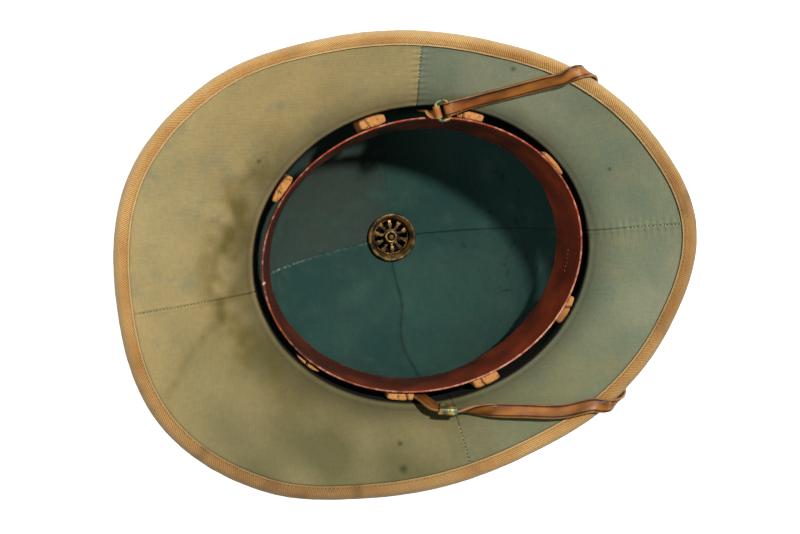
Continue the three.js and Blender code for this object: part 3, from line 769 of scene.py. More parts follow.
def tape_point(bearing, row):
    along, inset = row
    point = tape_row(bearing, along, inset)
    if inset:
        return point
    middle = tape_row(bearing, along, 1.0)
    outward = (point - middle).normalized()
    gather = 0.22 * blotch(point, 9, 11) + 0.1 * blotch(point, 3, 12)
    stitched = -0.22 * near(tape_from_edge(row), 1.35, 0.4)
    return point + outward * (0.7 * gather + stitched)


@lru_cache(maxsize=None)
def edge_travel(degrees):
    """The distance round the bound edge to a whole number of half degrees."""
    if degrees == 0:
        return 0.0
    here, last = (station(math.radians(d / 2), BRIM)[0] for d in (degrees, degrees - 1))
    step = math.radians(0.5)
    return edge_travel(degrees - 1) + math.hypot(here - last, (here + last) / 2 * step)


for half_degree in range(0, 1442, 40):
    edge_travel(half_degree)


def tape_flat(bearing, row):
    place = math.degrees(bearing) * 2
    index = int(place)
    start = edge_travel(index)
    return start + (edge_travel(index + 1) - start) * (place - index), row[0] * TAPE_HALF


def tape_from_edge(row):
    """The distance in from the tape's nearer selvage."""
    return (1 - abs(row[0])) * TAPE_HALF


def fold_share(bearing, row):
    along = row[0] + 0.06 * blotch(Vector(tape_point(bearing, row)), 14, 20)
    return 0.75 * near(along, -0.03, 0.28)


def selvage_share(bearing, row):
    return 0.75 * near(tape_from_edge(row), 0.35, 0.4) * (0.8 + 0.3 * blotch(tape_point(bearing, row), 5, 21))


def grime_and_shade_share(bearing, row):
    """Dust in the line of stitches and in smudges, and painted shade towards the wearer's left and at the
    front.
    """
    where = tape_point(bearing, row)
    stitches = 0.55 * near(tape_from_edge(row), 1.35, 0.3) * (0.65 + 0.6 * blotch(where, 1.6, 22))
    # Painted shade: the tape is darker towards the wearer's left and at the front.
    side_shade = 0.68 * near(turn_between(bearing, math.radians(236)), 0, 0.95)
    side_shade += 0.42 * near(turn_between(bearing, math.radians(350)), 0, 0.7)
    smudge = 0.5 * max(0, blotch(where, 11, 23) - 0.25)
    return max(0, min(1, stitches + side_shade + smudge))


tape_section = [(along, 0) for along in steps(-1, 1, 72)] + [(along, TAPE) for along in steps(1, -1, 20)]
tape_mesh = round_piece(evenly(900), tape_section, tape_point, tape_flat,
    {"fold": fold_share, "selvage": selvage_share, "grime_and_shade": grime_and_shade_share})
tape = finish_piece(tape_mesh, "edge_tape", tape_tan, "khaki_tape", "brim_binding")

# ---- Hat band ----
# A strip of khaki cotton wound round the foot of the crown in shallow pleats and sewn down. It stands 2.6 mm
# proud, and is the same cloth as the cover.
BAND_FIRST, BAND_LAST = 0.615, TUCK


def hat_band_point(bearing, row):
    mark, outside = row
    face = -CORK_CROWN - GAP
    if not outside:
        return raised(bearing, mark, face)
    share = (mark - BAND_FIRST) / (BAND_LAST - BAND_FIRST)
    pleat = (share * 5) % 1
    rise = 1.3 + 1.1 * pleat**0.7 * min(1, (1 - pleat) * 6)
    edge = min(1, share * 14, (1 - share) * 14) ** 0.5
    return raised(bearing, mark, face - edge * rise - 0.15)


band_section = [(mark, True) for mark in steps(BAND_FIRST, BAND_LAST, 60)]
band_section += [(mark, False) for mark in steps(BAND_LAST, BAND_FIRST, 12)]
band_mesh = round_piece(evenly(240), band_section, hat_band_point, outer_flat)
hat_band = finish_piece(band_mesh, "pleated_band", khaki_drill, "khaki_drill", "hat_band")

# ---- Sweatband ----
# A strip of brown sheepskin 36 mm wide, sewn to the cork spacers along its upper edge and free below. Wear
# has bared the pale skin along the top edge, and the free edge is frayed. Its ends meet at the back.
BAND_LENGTH, BAND_WIDTH, BAND_SKEW = 98.6, 82.3, math.radians(4)
BAND_TOP, BAND_DEPTH, LEATHER = 118.0, 36.0, 1.2
BAND_LEAN = [5.7, 7.6, 8.4, 9.2, 9.0, 5.4, 1.2, 3.6]  # of the free edge towards the head, every 45 degrees


def band_reach(bearing, height):
    depth = max(0, min(1, (BAND_TOP - height) / BAND_DEPTH))
    reach = oval_reach(BAND_LENGTH, BAND_WIDTH, bearing - BAND_SKEW)
    return reach - smooth_round(BAND_LEAN, bearing) * depth**1.3


def upright(bearing, reach, height):
    return Vector((reach * math.cos(bearing), reach * math.sin(bearing), height))


def band_point(bearing, row):
    depth, across = row
    plain = upright(bearing, 90, BAND_TOP - depth)
    ragged = max(0, (depth - 26) / 10)
    depth += ragged * (1.3 * blotch(plain, 9, 24) + 0.7 * blotch(plain, 2.5, 25))
    wave = 0.5 * blotch(plain, 20, 26) * min(1, depth / 8)
    return upright(bearing, band_reach(bearing, BAND_TOP - depth) + wave + across, BAND_TOP - depth)


def band_flat(bearing, row):
    return bearing * 90, row[0]


def leather_material(name, deep, bright, pore, roughness, handled):
    """Leather with a fine pebbled grain of pores about pore metres apart, and a soft waxed shine."""
    material, tree, shader = new_material(name)
    skin = node(tree, "ShaderNodeUVMap", uv_map="cloth").outputs["UV"]
    pores = node(tree, "ShaderNodeTexVoronoi", {"Vector": skin, "Scale": 1 / pore}).outputs["Distance"]
    creases = mottle(tree, skin, 0.12 / pore, Detail=5.0, Distortion=0.6)
    base = mixed(tree, patches(tree, 12, 0.35, 0.68), colour(deep), colour(bright))
    grained = mixed(tree, 0.3, base, creases, "OVERLAY")
    tree.links.new(handled(tree, grained), shader.inputs["Base Color"])
    add_bump(tree, shader, combined(tree, pores, creases), 0.35, 0.2 * MM)
    shine = ranged(tree, creases, 0.3, 0.7, roughness - 0.1, roughness + 0.14)
    tree.links.new(shine, shader.inputs["Roughness"])
    shader.inputs["Specular IOR Level"].default_value = 0.32
    return material


def sheepskin_wear_and_shade(tree, skin_colour):
    # Darker with sweat, and with painted shadow over the front on the wearer's right.
    sweated_and_shaded = mixed(tree, attribute(tree, "sweat"), skin_colour, colour("#2A1008"))
    ruddy = mixed(tree, attribute(tree, "ruddy"), sweated_and_shaded, colour("#8C3618"))
    return mixed(tree, attribute(tree, "bare"), ruddy, colour("#D2A08A"))


sheepskin = leather_material("waxed_sheepskin", "#7E3016", "#983E1E", 0.9 * MM, 0.46, sheepskin_wear_and_shade)


def bare_share(bearing, row):
    """Pale bare skin on the top edge, broken, and flecks on the free edge."""
    depth, across = row
    where = upright(bearing, 90, BAND_TOP - depth)
    rubbed = 0.02 + 0.4 * near(turn_between(bearing, math.radians(312)), 0, 1.1)
    top = near(depth, 0, 0.4) * (rubbed + 0.5 * blotch(where, 4, 27) + 0.4 * blotch(where, 1.6, 32))
    fray = near(depth, BAND_DEPTH, 0.8) * max(0, blotch(where, 2, 28) + 0.1) * 0.9
    return max(0, min(0.95, top + fray))


def ruddy_share(bearing, row):
    """The red of the skin shows where the finish has thinned, below the top edge."""
    where = upright(bearing, 90, BAND_TOP - row[0])
    below_edge = near(row[0], 1.5, 3) * (0.12 + 0.7 * blotch(where, 8, 29))
    return max(0, min(0.8, below_edge + 0.25 * blotch(where, 14, 30)))


def sweat_and_shade_share(bearing, row):
    """Darkens the skin in three stretches, and with sweat everywhere towards the free edge. The stretch over
    the front on the wearer's right is painted shadow.
    """
    where = upright(bearing, 90, BAND_TOP - row[0])
    lower_left = 0.85 * near(turn_between(bearing, math.radians(232)), 0, 1.15)
    # Painted shadow over the front on the wearer's right.
    upper_right_shadow = 0.5 * near(turn_between(bearing, math.radians(60)), 0, 0.8)
    far_left = 0.5 * near(turn_between(bearing, math.radians(165)), 0, 0.9)
    downward = (row[0] - 14) / 60
    return max(0, min(0.85, lower_left + upper_right_shadow + far_left + downward + 0.5 * blotch(where, 18, 31)))


band_inside = [(depth, 0) for depth in steps(0.3, BAND_DEPTH - 0.3, 46)]
band_foot = [(BAND_DEPTH, 0.3), (BAND_DEPTH, LEATHER - 0.3)]
band_outside = [(depth, LEATHER) for depth in steps(BAND_DEPTH - 0.3, 0.3, 20)]
band_head = [(0.05, LEATHER - 0.15), (-0.1, LEATHER / 2), (0.05, 0.15)]
band_section = band_inside + band_foot + band_outside + band_head
band_mesh = round_piece(evenly(620), band_section, band_point, band_flat,
    {"bare": bare_share, "ruddy": ruddy_share, "sweat": sweat_and_shade_share})
finish_piece(band_mesh, "leather_sweatband", sheepskin, "brown_leather", "sweatband")

# ---- Sewing thread on the sweatband ----
# Waxed linen thread, gone pale. A short row of stitches holds the front of the band, and a whipped tack joins
# its ends at the back.


def add_stitch(mesh, middle, along, length, radius):
    """One stitch: a thread that swells at its middle and dives into the work at both ends."""
    cloth_map = mesh.loops.layers.uv.get("cloth") or mesh.loops.layers.uv.new("cloth")
    made = bmesh.ops.create_icosphere(mesh, subdivisions=1, radius=1)
    turn = along.to_track_quat("X", "Z").to_matrix().to_4x4()
    size = Matrix.Diagonal((length / 2 * MM, radius * MM, radius * MM, 1))
    bmesh.ops.transform(mesh, matrix=Matrix.Translation(middle * MM) @ turn @ size, verts=made["verts"])
    for face in {face for vertex in made["verts"] for face in vertex.link_faces}:
        for loop in face.loops:
            loop[cloth_map].uv = loop.vert.co.xy


def thread_material(name, deep, pale):
    """Twisted linen thread: a soft satin with finer dark turns of the ply."""
    material, tree, shader = new_material(name)
    ply = node(tree, "ShaderNodeTexWave", {"Vector": object_place(tree), "Scale": 0.314 / (0.5 * MM),
        "Distortion": 3.0}, bands_direction="DIAGONAL").outputs["Fac"]
    tree.links.new(mixed(tree, ply, colour(deep), colour(pale)), shader.inputs["Base Color"])
    shader.inputs["Roughness"].default_value = 0.75
    return material


linen_thread = thread_material("waxed_linen_thread", "#9A7A66", "#D8BFA8")
mesh = bmesh.new()
for degrees in steps(-6.5, -14.3, 5):
    bearing = math.radians(degrees)
    height = 100.0 + 0.5 * math.sin(degrees * 5)
    add_stitch(mesh, upright(bearing, band_reach(bearing, height) - 0.05, height),
        Vector((-math.sin(bearing), math.cos(bearing), 0)), 1.5, 0.35)
JOIN_BEARING = math.radians(182.3)
for i, height in enumerate(steps(BAND_TOP - 2.6, BAND_TOP - 0.2, 4)):
    slant = Vector((0, 0.5, 1 if i % 2 else -1))
    add_stitch(mesh, upright(JOIN_BEARING, band_reach(JOIN_BEARING, height) - 0.1, height), slant, 2.4, 0.35)
for reach_step in steps(0, LEATHER, 3):
    add_stitch(mesh, upright(JOIN_BEARING, BAND_LENGTH * 0.998 + reach_step, BAND_TOP + 0.15),
        Vector((0.25, 1, 0)), 2.6, 0.35)
finish_piece(mesh, "band_stitches", linen_thread, "raw_cork")

# ---- Cork spacers ----
# Eight blocks of bare cork hold the band away from the crown so that air can pass. They are cut with a knife
# from sheet, so their corners are soft, their ends taper and some have split. Each is glued to band and wall.
SPACER_LENGTH, SPACER_FOOT, SPACER_TOP = 17.0, 90.0, 115.5
# bearing in degrees, how much the ends taper, where it has split along its length (-1 to 1) and how deep
SPACERS = [
    (28, 0.35, 0.9, 0.6), (65, 0.10, 0.55, 2.2), (105, 0.25, 0.40, 0.8), (148, 0.40, -0.75, 0.6),
    (216, 0.85, -0.05, 2.4), (255, 0.10, 0.45, 2.6), (291, 0.15, -0.30, 1.2), (332, 0.30, 0.20, 2.0),
]
SPACER_CUTS = 24


def lining_reach(bearing, height):
    reach, _, across, _ = crown_station(bearing, crown_angle(min(height, WALL_END_Z)))
    return reach + across * (CLOTH + GAP)


def rounded_block(point, half, radius):
    """A point of a cube's face, moved to a block with rounded edges. half is half the block's size."""
    spread = [point[i] * half[i] for i in range(3)]
    core = Vector([max(-half[i] + radius, min(half[i] - radius, spread[i])) for i in range(3)])
    off = Vector(spread) - core
    return core + off.normalized() * min(radius, off.length * 1.2) if off.length > 1e-6 else core


def lay_map(mesh, cloth_map):
    """Gives each corner its place seen from above, for the grain to follow."""
    for face in mesh.faces:
        for loop in face.loops:
            loop[cloth_map].uv = loop.vert.co.xy


def spacer_mesh(bearing, taper, split, depth, seed):
    thickness = lining_reach(bearing, SPACER_TOP) - GAP * 2 - band_reach(bearing, SPACER_TOP) - LEATHER - GAP
    half = Vector((SPACER_LENGTH / 2, thickness / 2, (SPACER_TOP - SPACER_FOOT) / 2))
    mesh = bmesh.new()
    cloth_map = mesh.loops.layers.uv.new("cloth")
    dark = mesh.verts.layers.float.new("split")
    bmesh.ops.create_cube(mesh, size=2)
    bmesh.ops.subdivide_edges(mesh, edges=mesh.edges, cuts=SPACER_CUTS, use_grid_fill=True)
    for vertex in mesh.verts:
        block = rounded_block(vertex.co, half, 1.5)
        along, deep, tall = block.x / half.x, block.y / half.y, block.z / half.z
        cut = near(block.x - 0.25 * block.y, split * half.x, 0.55)
        vertex[dark] = cut * min(1, depth) if tall > 0 else 0
        narrow = 1 - taper * abs(along) ** 2.5
        turn = bearing + along * half.x / 90
        height = (SPACER_FOOT + SPACER_TOP) / 2 + block.z
        inner = band_reach(turn, height) + LEATHER + GAP
        outer = lining_reach(turn, height) - GAP * 2
        reach = inner + (outer - inner) * (0.5 + 0.5 * deep * narrow)
        place = upright(turn, reach, height)
        chipped = blotch(place, 3.5, seed) * 0.35 + blotch(place, 1.3, seed + 1) * 0.22
        place.z += (chipped - depth * cut - 1.0 * (1 - narrow)) if tall > 0.8 else 0
        vertex.co = place * MM
    lay_map(mesh, cloth_map)
    return mesh


def cork_material():
    """Bare cork, cut across: honey coloured cells with dark lenticels and short brown streaks."""
    material, tree, shader = new_material("cut_cork")
    place = object_place(tree)
    grain = mottle(tree, place, 0.5 / (0.9 * MM), Detail=6.0)
    cells = node(tree, "ShaderNodeTexVoronoi", {"Vector": place, "Scale": 1 / (1.3 * MM)}).outputs["Distance"]
    streaked = node(tree, "ShaderNodeMapping", {"Vector": place, "Scale": (1, 0.35, 1)}).outputs["Vector"]
    pitted = ranged(tree, mottle(tree, streaked, 0.5 / (1.1 * MM), Detail=3.0), 0.6, 0.7)
    honey = mixed(tree, grain, colour("#9A6630"), colour("#CE9658"))
    spotted = mixed(tree, pitted, honey, colour("#4A2A12"))
    smoked = mixed(tree, patches(tree, 10, 0.45, 0.75), spotted, colour("#8A5A30"))
    # Painted shade: the splits are darkened to near black.
    split = mixed(tree, attribute(tree, "split"), smoked, colour("#120A05"))
    tree.links.new(split, shader.inputs["Base Color"])
    add_bump(tree, shader, combined(tree, grain, cells), 0.7, 0.35 * MM)
    shader.inputs["Roughness"].default_value = 0.93
    return material


cut_cork = cork_material()
for number, (degrees, taper, split, depth) in enumerate(SPACERS, 1):
    block_mesh = spacer_mesh(math.radians(degrees), taper, split, depth, 40 + 3 * number)
    finish_piece(block_mesh, f"cork_block_{number}", cut_cork, "raw_cork", f"cork_spacer_{number}")

# ---- Ventilator ----
# A spun brass dish, slotted like a wheel, is pressed through the crown. A hollow boss in the middle takes the
# screwed post of the cap, a tin button covered in the khaki drill, that stands over the hole outside.
SLOTS, SLOT_TURN = 10, math.radians(21)
FLOOR_Z, FLOOR_SHEET = 13.5, 1.2


def add_spun(mesh, section, count):
    """Adds a closed section of (radius, height) points, turned round the crown's axis."""
    loop = [mesh.verts.new(Vector((radius, 0, height)) * MM) for radius, height in section]
    edges = [mesh.edges.new((loop[i - 1], loop[i])) for i in range(len(loop))]
    bmesh.ops.spin(mesh, geom=loop + edges, cent=(0, 0, 0), axis=(0, 0, 1), angle=math.tau, steps=count,
        use_merge=True)
    bmesh.ops.remove_doubles(mesh, verts=mesh.verts, dist=1e-7)
    bmesh.ops.recalc_face_normals(mesh, faces=mesh.faces)


def arc_section(middle, radius, first, last, count):
    turns = [math.radians(angle) for angle in steps(first, last, count)]
    return [(middle[0] + radius * math.cos(turn), middle[1] + radius * math.sin(turn)) for turn in turns]


def brass_material(name, bright, brown, green, greenness):
    """Old brass: polished where it is rubbed, brown elsewhere, with green tarnish in patches."""
    material, tree, shader = new_material(name)
    fine = mottle(tree, object_place(tree), 0.5 / (0.8 * MM), Detail=5.0)
    browned = mixed(tree, patches(tree, 3.2, 0.36, 0.6), colour(bright), colour(brown))
    greened = mixed(tree, patches(tree, 2.4, greenness, greenness + 0.12), browned, colour(green))
    tree.links.new(greened, shader.inputs["Base Color"])
    tree.links.new(ranged(tree, fine, 0.35, 0.65, 0.42, 0.7), shader.inputs["Roughness"])
    add_bump(tree, shader, fine, 0.4, 0.15 * MM)
    shader.inputs["Metallic"].default_value = 0.6
    return material


browned_brass = brass_material("browned_brass", "#7E6232", "#2C2214", "#3C4432", 0.6)

mesh = bmesh.new()
sleeve = [(11.7, 10.2), (12.7, 10.2), (12.7, 17.0)]
flange = arc_section((14.6, 18.4), 1.15, -130, 110, 14)
mouth = [(13.4, 18.9), (12.6, 18.2), (11.95, 17.3), (11.7, 16.2), (11.7, 13.5)]
add_spun(mesh, sleeve + flange + mouth, 96)
finish_piece(mesh, "vent_dish", browned_brass, "brass", "vent_collar")

# The floor is a ring cut by the slots into spokes, with its outer edge in the dish.
mesh = bmesh.new()
COLUMNS = 120
FLOOR_RINGS = [3.6, 4.9, 6.2, 7.6, 9.0, 10.2, 10.9, 11.5]
SLOT_FROM, SLOT_TO = FLOOR_RINGS[1], FLOOR_RINGS[-2]
bmesh.ops.create_grid(mesh, x_segments=COLUMNS, y_segments=len(FLOOR_RINGS) - 1, size=0.5)
for vertex in mesh.verts:
    turn = math.tau * round((vertex.co.x + 0.5) * COLUMNS) / COLUMNS
    radius = FLOOR_RINGS[round((vertex.co.y + 0.5) * (len(FLOOR_RINGS) - 1))]
    pressed = 0.7 * math.sin(math.pi * (radius - 4.5) / 7)
    vertex.co = upright(turn, radius, FLOOR_Z + FLOOR_SHEET + pressed) * MM
bmesh.ops.remove_doubles(mesh, verts=mesh.verts, dist=1e-7)
slotted = []
for face in mesh.faces:
    middle = face.calc_center_median() / MM
    from_slot = abs(turn_between(math.atan2(middle.y, middle.x) * SLOTS, 0)) / SLOTS
    if from_slot < SLOT_TURN / 2 and SLOT_FROM < math.hypot(middle.x, middle.y) < SLOT_TO:
        slotted.append(face)
bmesh.ops.delete(mesh, geom=slotted, context="FACES")
bmesh.ops.recalc_face_normals(mesh, faces=mesh.faces)
bmesh.ops.solidify(mesh, geom=mesh.faces[:], thickness=0.8 * MM)
bmesh.ops.recalc_face_normals(mesh, faces=mesh.faces)
finish_piece(mesh, "vent_spokes", browned_brass, "brass", "vent_collar")

# The boss leans a little, and its rim is worn bright. The screwed end of the post stands in it.
bright_brass = brass_material("rubbed_brass", "#B8A06C", "#5E4A2A", "#5E6048", 0.64)
mesh = bmesh.new()
boss_wall = [(2.5, 12.6), (4.3, 12.6), (4.1, 15.2), (3.75, 18.6)]
boss_rim = arc_section((3.3, 18.9), 0.5, 0, 180, 8)
add_spun(mesh, boss_wall + boss_rim + [(2.5, 18.2)], 64)
lean = Matrix.Shear("XY", 4, (-0.12, 0.1))
settled = Matrix.Translation((0, 0, FLOOR_Z * MM)) @ lean @ Matrix.Translation((0, 0, -FLOOR_Z * MM))
bmesh.ops.transform(mesh, matrix=settled, verts=mesh.verts)
finish_piece(mesh, "vent_boss", bright_brass, "brass", "vent_collar")

mesh = bmesh.new()
THREAD_PITCH = 0.8
crests = [(1.75 if i % 2 else 1.35, 12.0 + THREAD_PITCH * i / 2) for i in range(14)]
add_spun(mesh, [(0, 11.4), (1.5, 11.4)] + crests + [(1.2, 17.9), (0, 18.0)], 32)
for vertex in mesh.verts:
    if vertex.co.z > 17.5 * MM and abs(vertex.co.y) < 0.35 * MM:
        vertex.co.z -= 0.5 * MM
finish_piece(mesh, "post_end", browned_brass, "brass")

mesh = bmesh.new()
cloth_map = mesh.loops.layers.uv.new("cloth")
crown_of_cap = [(0, 0), (9, 0), (18, 0)] + arc_section((18.2, 3.2), 3.2, -80, 40, 12) + [(21.2, 6.0)]
under_cap = [(20.6, 6.2), (19, 6.2), (18.3, 5.6), (17.8, 4.7), (1.8, 4.7), (1.8, 11.5), (0, 11.5)]
add_spun(mesh, crown_of_cap + under_cap, 96)
for vertex in mesh.verts:
    gather = math.atan2(vertex.co.y, vertex.co.x) * 16
    if vertex.co.z > 4.9 * MM and vertex.co.xy.length > 15 * MM:
        vertex.co.z += 0.25 * MM * math.sin(gather)
lay_map(mesh, cloth_map)
finish_piece(mesh, "covered_cap", khaki_drill, "khaki_drill", "vent_cap")

# A near-black disc on the button's back is painted shade, so the slots look dark.
painted_shade_black, tree, shader = new_material("painted_shade_black")
shader.inputs["Base Color"].default_value = colour("#0A0907")
shader.inputs["Roughness"].default_value = 0.8
shader.inputs["Specular IOR Level"].default_value = 0.1
mesh = bmesh.new()
add_spun(mesh, [(1.9, 4.8), (18.0, 4.8), (18.0, 5.3), (1.9, 5.3)], 64)
finish_piece(mesh, "painted_shade_disc", painted_shade_black, "brass")

# ---- Chin strap ----
# One strap of bridle leather 8.6 mm wide and 1.8 mm thick, creased with a hot iron along both edges. From its
# ring it lies on the brim, folds over the bound edge, runs round the front on the hat band and comes back.
STRAP_WIDTH, STRAP_THICK, STRAP_MIDDLE = 8.6, 1.8, 240.0
RING_AT, RING_TURN, RING_APART, RING_WIRE = Vector((19, 86.6, 125)), math.radians(10), 7.0, 0.75
RIM_BEARING, RIM_ADVANCE, RIM_GAP = math.radians(44.8), math.radians(3), 1.5
UP = Vector((0, 0, 1))
# x, y, lift of the strap's middle above the shell's inner face, and its turn in degrees about +X
ON_RIGHT_BRIM = [(37, 89.4, 4.2, 0), (55.8, 92.4, 3.4, 0), (79, 96.8, 4.0, 0), (92, 99.4, 4.6, 0)]
ON_LEFT_BRIM = [
    (92, -101.5, 5.8, 2), (70, -102.2, 7.0, 4), (47, -99.8, 8.0, 8),
    (32, -98.0, 8.0, 28), (20, -96.2, 8.4, 70), (8, -95.2, 8.8, 120),
]
# bearing in degrees, reach, height, and how far the strap's face looks up
INTO_GAP = [(266.6, 91, 126.3, -0.1), (264, 88, 121.5, 0), (262.6, 86.8, 112, 0), (262.4, 86.5, 99, 0)]


def on_brim(x, y, lift, twist):
    bearing = math.atan2(y, x) % math.tau
    low, high = LIP, BRIM
    for _ in range(24):
        mark = (low + high) / 2
        reach, _, across, _ = station(bearing, mark)
        if reach + across * lift < math.hypot(x, y):
            low = mark
        else:
            high = mark
    _, _, across, upward = station(bearing, low)
    face = upright(bearing, across, upward)
    return raised(bearing, low, lift), Matrix.Rotation(math.radians(twist), 3, "X") @ face


def on_rim(bearing, angle):
    reach, height, across, upward = station(bearing, BRIM)
    radius = RIM_RADIUS + RIM_GAP + STRAP_THICK / 2
    out = upward * math.cos(angle) + across * math.sin(angle)
    rise = -across * math.cos(angle) + upward * math.sin(angle)
    reach += radius * out + RIM_RISE * across
    height += radius * rise + RIM_RISE * upward
    return upright(bearing, reach, height), upright(bearing, out, rise)


def in_gap(degrees, reach, height, face_up):
    bearing = math.radians(degrees)
    return upright(bearing, reach, height), upright(bearing, 1, 4 * face_up).normalized()


def over_rim(side):
    """The strap's rows from the bound edge, round it and beneath the brim to the crown's front."""
    rows = [
        on_rim(side * (RIM_BEARING + RIM_ADVANCE * angle / 80), math.radians(angle))
        for angle in (80, 40, 0, -40, -80)
    ]
    beneath = Vector((109.5, side * 54, 115)), Vector((0.8, side * 0.25, -0.55)).normalized()
    bearing = side * math.radians(2.5)
    reach, height, across, upward = crown_station(bearing, crown_angle(98))
    out = CORK_CROWN + 2.6 + 2.5 * GAP + STRAP_THICK / 2
    front = upright(bearing, reach - out * across, height - out * upward), upright(bearing, 1, 0)
    return [*rows, beneath, front]


def round_bar(bar, heading, upward_way, thickness, tail):
    """The rows that take a strap's end round a bar of the ring, where heading is the way that it goes."""
    radius = RING_WIRE + GAP + thickness / 2
    places = [
        (tail, -radius + 0.5, 0, -1), (0.6, -radius, 0, -1), (-radius * 0.71, -radius * 0.71, -1, -1),
        (-radius, 0, -1, 0), (-radius * 0.71, radius * 0.71, -1, 1), (0.6, radius, 0, 1),
    ]
    return [
        (bar + heading * along + upward_way * rise, (heading * out + upward_way * upward).normalized())
        for along, rise, out, upward in places
    ]


def curve_between(rows, index, share):
    """A centripetal Catmull-Rom curve through the rows' points, at a share of the way past row index."""
    points = [row[0] for row in rows]
    points = [2 * points[0] - points[1], *points, 2 * points[-1] - points[-2]]
    before, start, end, after = points[index : index + 4]
    gaps = [max((b - a).length ** 0.5, 1e-4) for a, b in ((before, start), (start, end), (end, after))]
    leave = (start - before) / gaps[0] - (end - before) / (gaps[0] + gaps[1]) + (end - start) / gaps[1]
    arrive = (end - start) / gaps[1] - (after - start) / (gaps[1] + gaps[2]) + (after - end) / gaps[2]
    leave, arrive = leave * gaps[1], arrive * gaps[1]
    bend = 2 * start - 2 * end + leave + arrive
    turn = -3 * start + 3 * end - 2 * leave - arrive
    return start + leave * share + turn * share**2 + bend * share**3


def strap_path(rows, step):
    """Places along a strap: the distance from its start, its middle, its face and its sideways direction."""
    places = []
    for index in range(len(rows) - 1):
        count = max(2, round((rows[index + 1][0] - rows[index][0]).length / step))
        places += [(index, i / count) for i in range(count)]
    places.append((len(rows) - 2, 1.0))
    path, travelled, last = [], 0.0, None
    for index, share in places:
        middle = curve_between(rows, index, share)
        nudge = 0.01 if share < 0.99 else -0.01
        along = (curve_between(rows, index, share + nudge) - middle).normalized() * (1 if nudge > 0 else -1)
        face = rows[index][1].lerp(rows[index + 1][1], share)
        face = (face - along * face.dot(along)).normalized()
        travelled += (middle - last).length if last else 0
        last = middle
        path.append((travelled, middle, face, face.cross(along)))
    return path


def eased(path, passes):
    """Softens a path where it folds over the bound edge, as thick leather cannot turn sharply."""
    for _ in range(passes):
        last = path
        path = path[:]
        for i in range(1, len(path) - 1):
            if last[i][1].xy.length > 128:
                (_, before, *_), (travelled, here, *_), (_, after, *_) = last[i - 1 : i + 2]
                middle = 0.5 * here + 0.25 * (before + after)
                face = (0.5 * last[i][2] + 0.25 * (last[i - 1][2] + last[i + 1][2])).normalized()
                along = (after - before).normalized()
                face = (face - along * face.dot(along)).normalized()
                path[i] = (travelled, middle, face, face.cross(along))
    return path


def strap_piece(path, section, extra):
    """A strap along a path. section is a closed loop of (across, rise) points. extra gives attributes."""
    mesh = bmesh.new()
    cloth_map = mesh.loops.layers.uv.new("cloth")
    bmesh.ops.create_grid(mesh, x_segments=len(path) - 1, y_segments=len(section), size=0.5)
    layers = {name: mesh.verts.layers.float.new(name) for name in extra}
    spread = {}
    for vertex in mesh.verts:
        row = round((vertex.co.y + 0.5) * len(section))
        across, rise = section[row % len(section)]
        travelled, middle, face, aside = path[round((vertex.co.x + 0.5) * (len(path) - 1))]
        vertex.co = (middle + aside * across + face * rise) * MM
        spread[vertex] = (travelled * MM, (across + 20 * (rise < 0)) * MM)
        for name, layer in layers.items():
            vertex[layer] = extra[name](travelled, across, rise)
    for face in mesh.faces:
        for loop in face.loops:
            loop[cloth_map].uv = spread[loop.vert]
    bmesh.ops.remove_doubles(mesh, verts=mesh.verts, dist=1e-7)
    bmesh.ops.holes_fill(mesh, edges=[edge for edge in mesh.edges if edge.is_boundary])
    bmesh.ops.recalc_face_normals(mesh, faces=mesh.faces)
    return mesh


def creased_section(width, thickness, crease, depth):
    """A strap's section: rounded edges, a flat back and a face creased near both edges."""
    half, radius = width / 2, thickness * 0.3
    face = []
    for across in steps(-half + radius, half - radius, 30):
        groove = depth * near(abs(across), half - crease, 0.28)
        face.append((across, thickness / 2 - groove))
    right = [(half - radius * (1 - math.cos(turn)), thickness / 2 - radius * (1 - math.sin(turn)))
             for turn in steps(math.pi / 2, 0, 4)[1:]]
    left = [(-across, rise) for across, rise in reversed(right)]
    back = [(across, -thickness / 2) for across in steps(half - radius, -half + radius, 8)]
    low = [(across, -rise) for across, rise in reversed(right)]
    low_left = [(-across, rise) for across, rise in reversed(low)]
    return face + right + low + back + low_left + left


def bridle_wear_and_light(tree, skin_colour):
    golden = mixed(tree, attribute(tree, "golden"), skin_colour, colour("#A3692A"))
    ruddy = mixed(tree, attribute(tree, "ruddy"), golden, colour("#743620"))
    darkened = mixed(tree, attribute(tree, "edge"), ruddy, colour("#1C0F07"))
    return mixed(tree, attribute(tree, "cut"), darkened, colour("#A98452"))


bridle_leather = leather_material("bridle_leather", "#5C3616", "#84542A", 0.8 * MM, 0.42, bridle_wear_and_light)


def strap_golden(travelled, across, rise):
    where = Vector((travelled, across * 3, 0))
    # Painted light: the strap's length from the ring on the wearer's right is lighter, as lit, and the rest
    # darker.
    lit_side = 0.68 if travelled < STRAP_MIDDLE else 0.3
    return max(0, min(0.85, lit_side + 0.9 * blotch(where, 14, 60) - 0.08 * abs(across)))


def strap_ruddy(travelled, across, rise):
    return 0.75 * near(travelled, 30, 15) * (0.8 + 0.5 * blotch(Vector((travelled, across, 0)), 5, 61))


def strap_edge(travelled, across, rise):
    """Dark wax in the creases, and handling dirt in patches."""
    half = STRAP_WIDTH / 2
    crease = 0.95 * near(abs(across), half - 1.15, 0.55) if rise > 0 else 0
    smear = 0.8 * max(0, blotch(Vector((travelled, across, 0)), 9, 62) - 0.1)
    smear *= 0.4 + 0.6 * (abs(across) > 2.6)
    dark_side = 0.6 * near(travelled, 34, 16) * near(across, half, 2.2)
    underside = 0.45 if rise < 0 else 0
    return max(0, min(0.95, crease + smear + dark_side + underside))


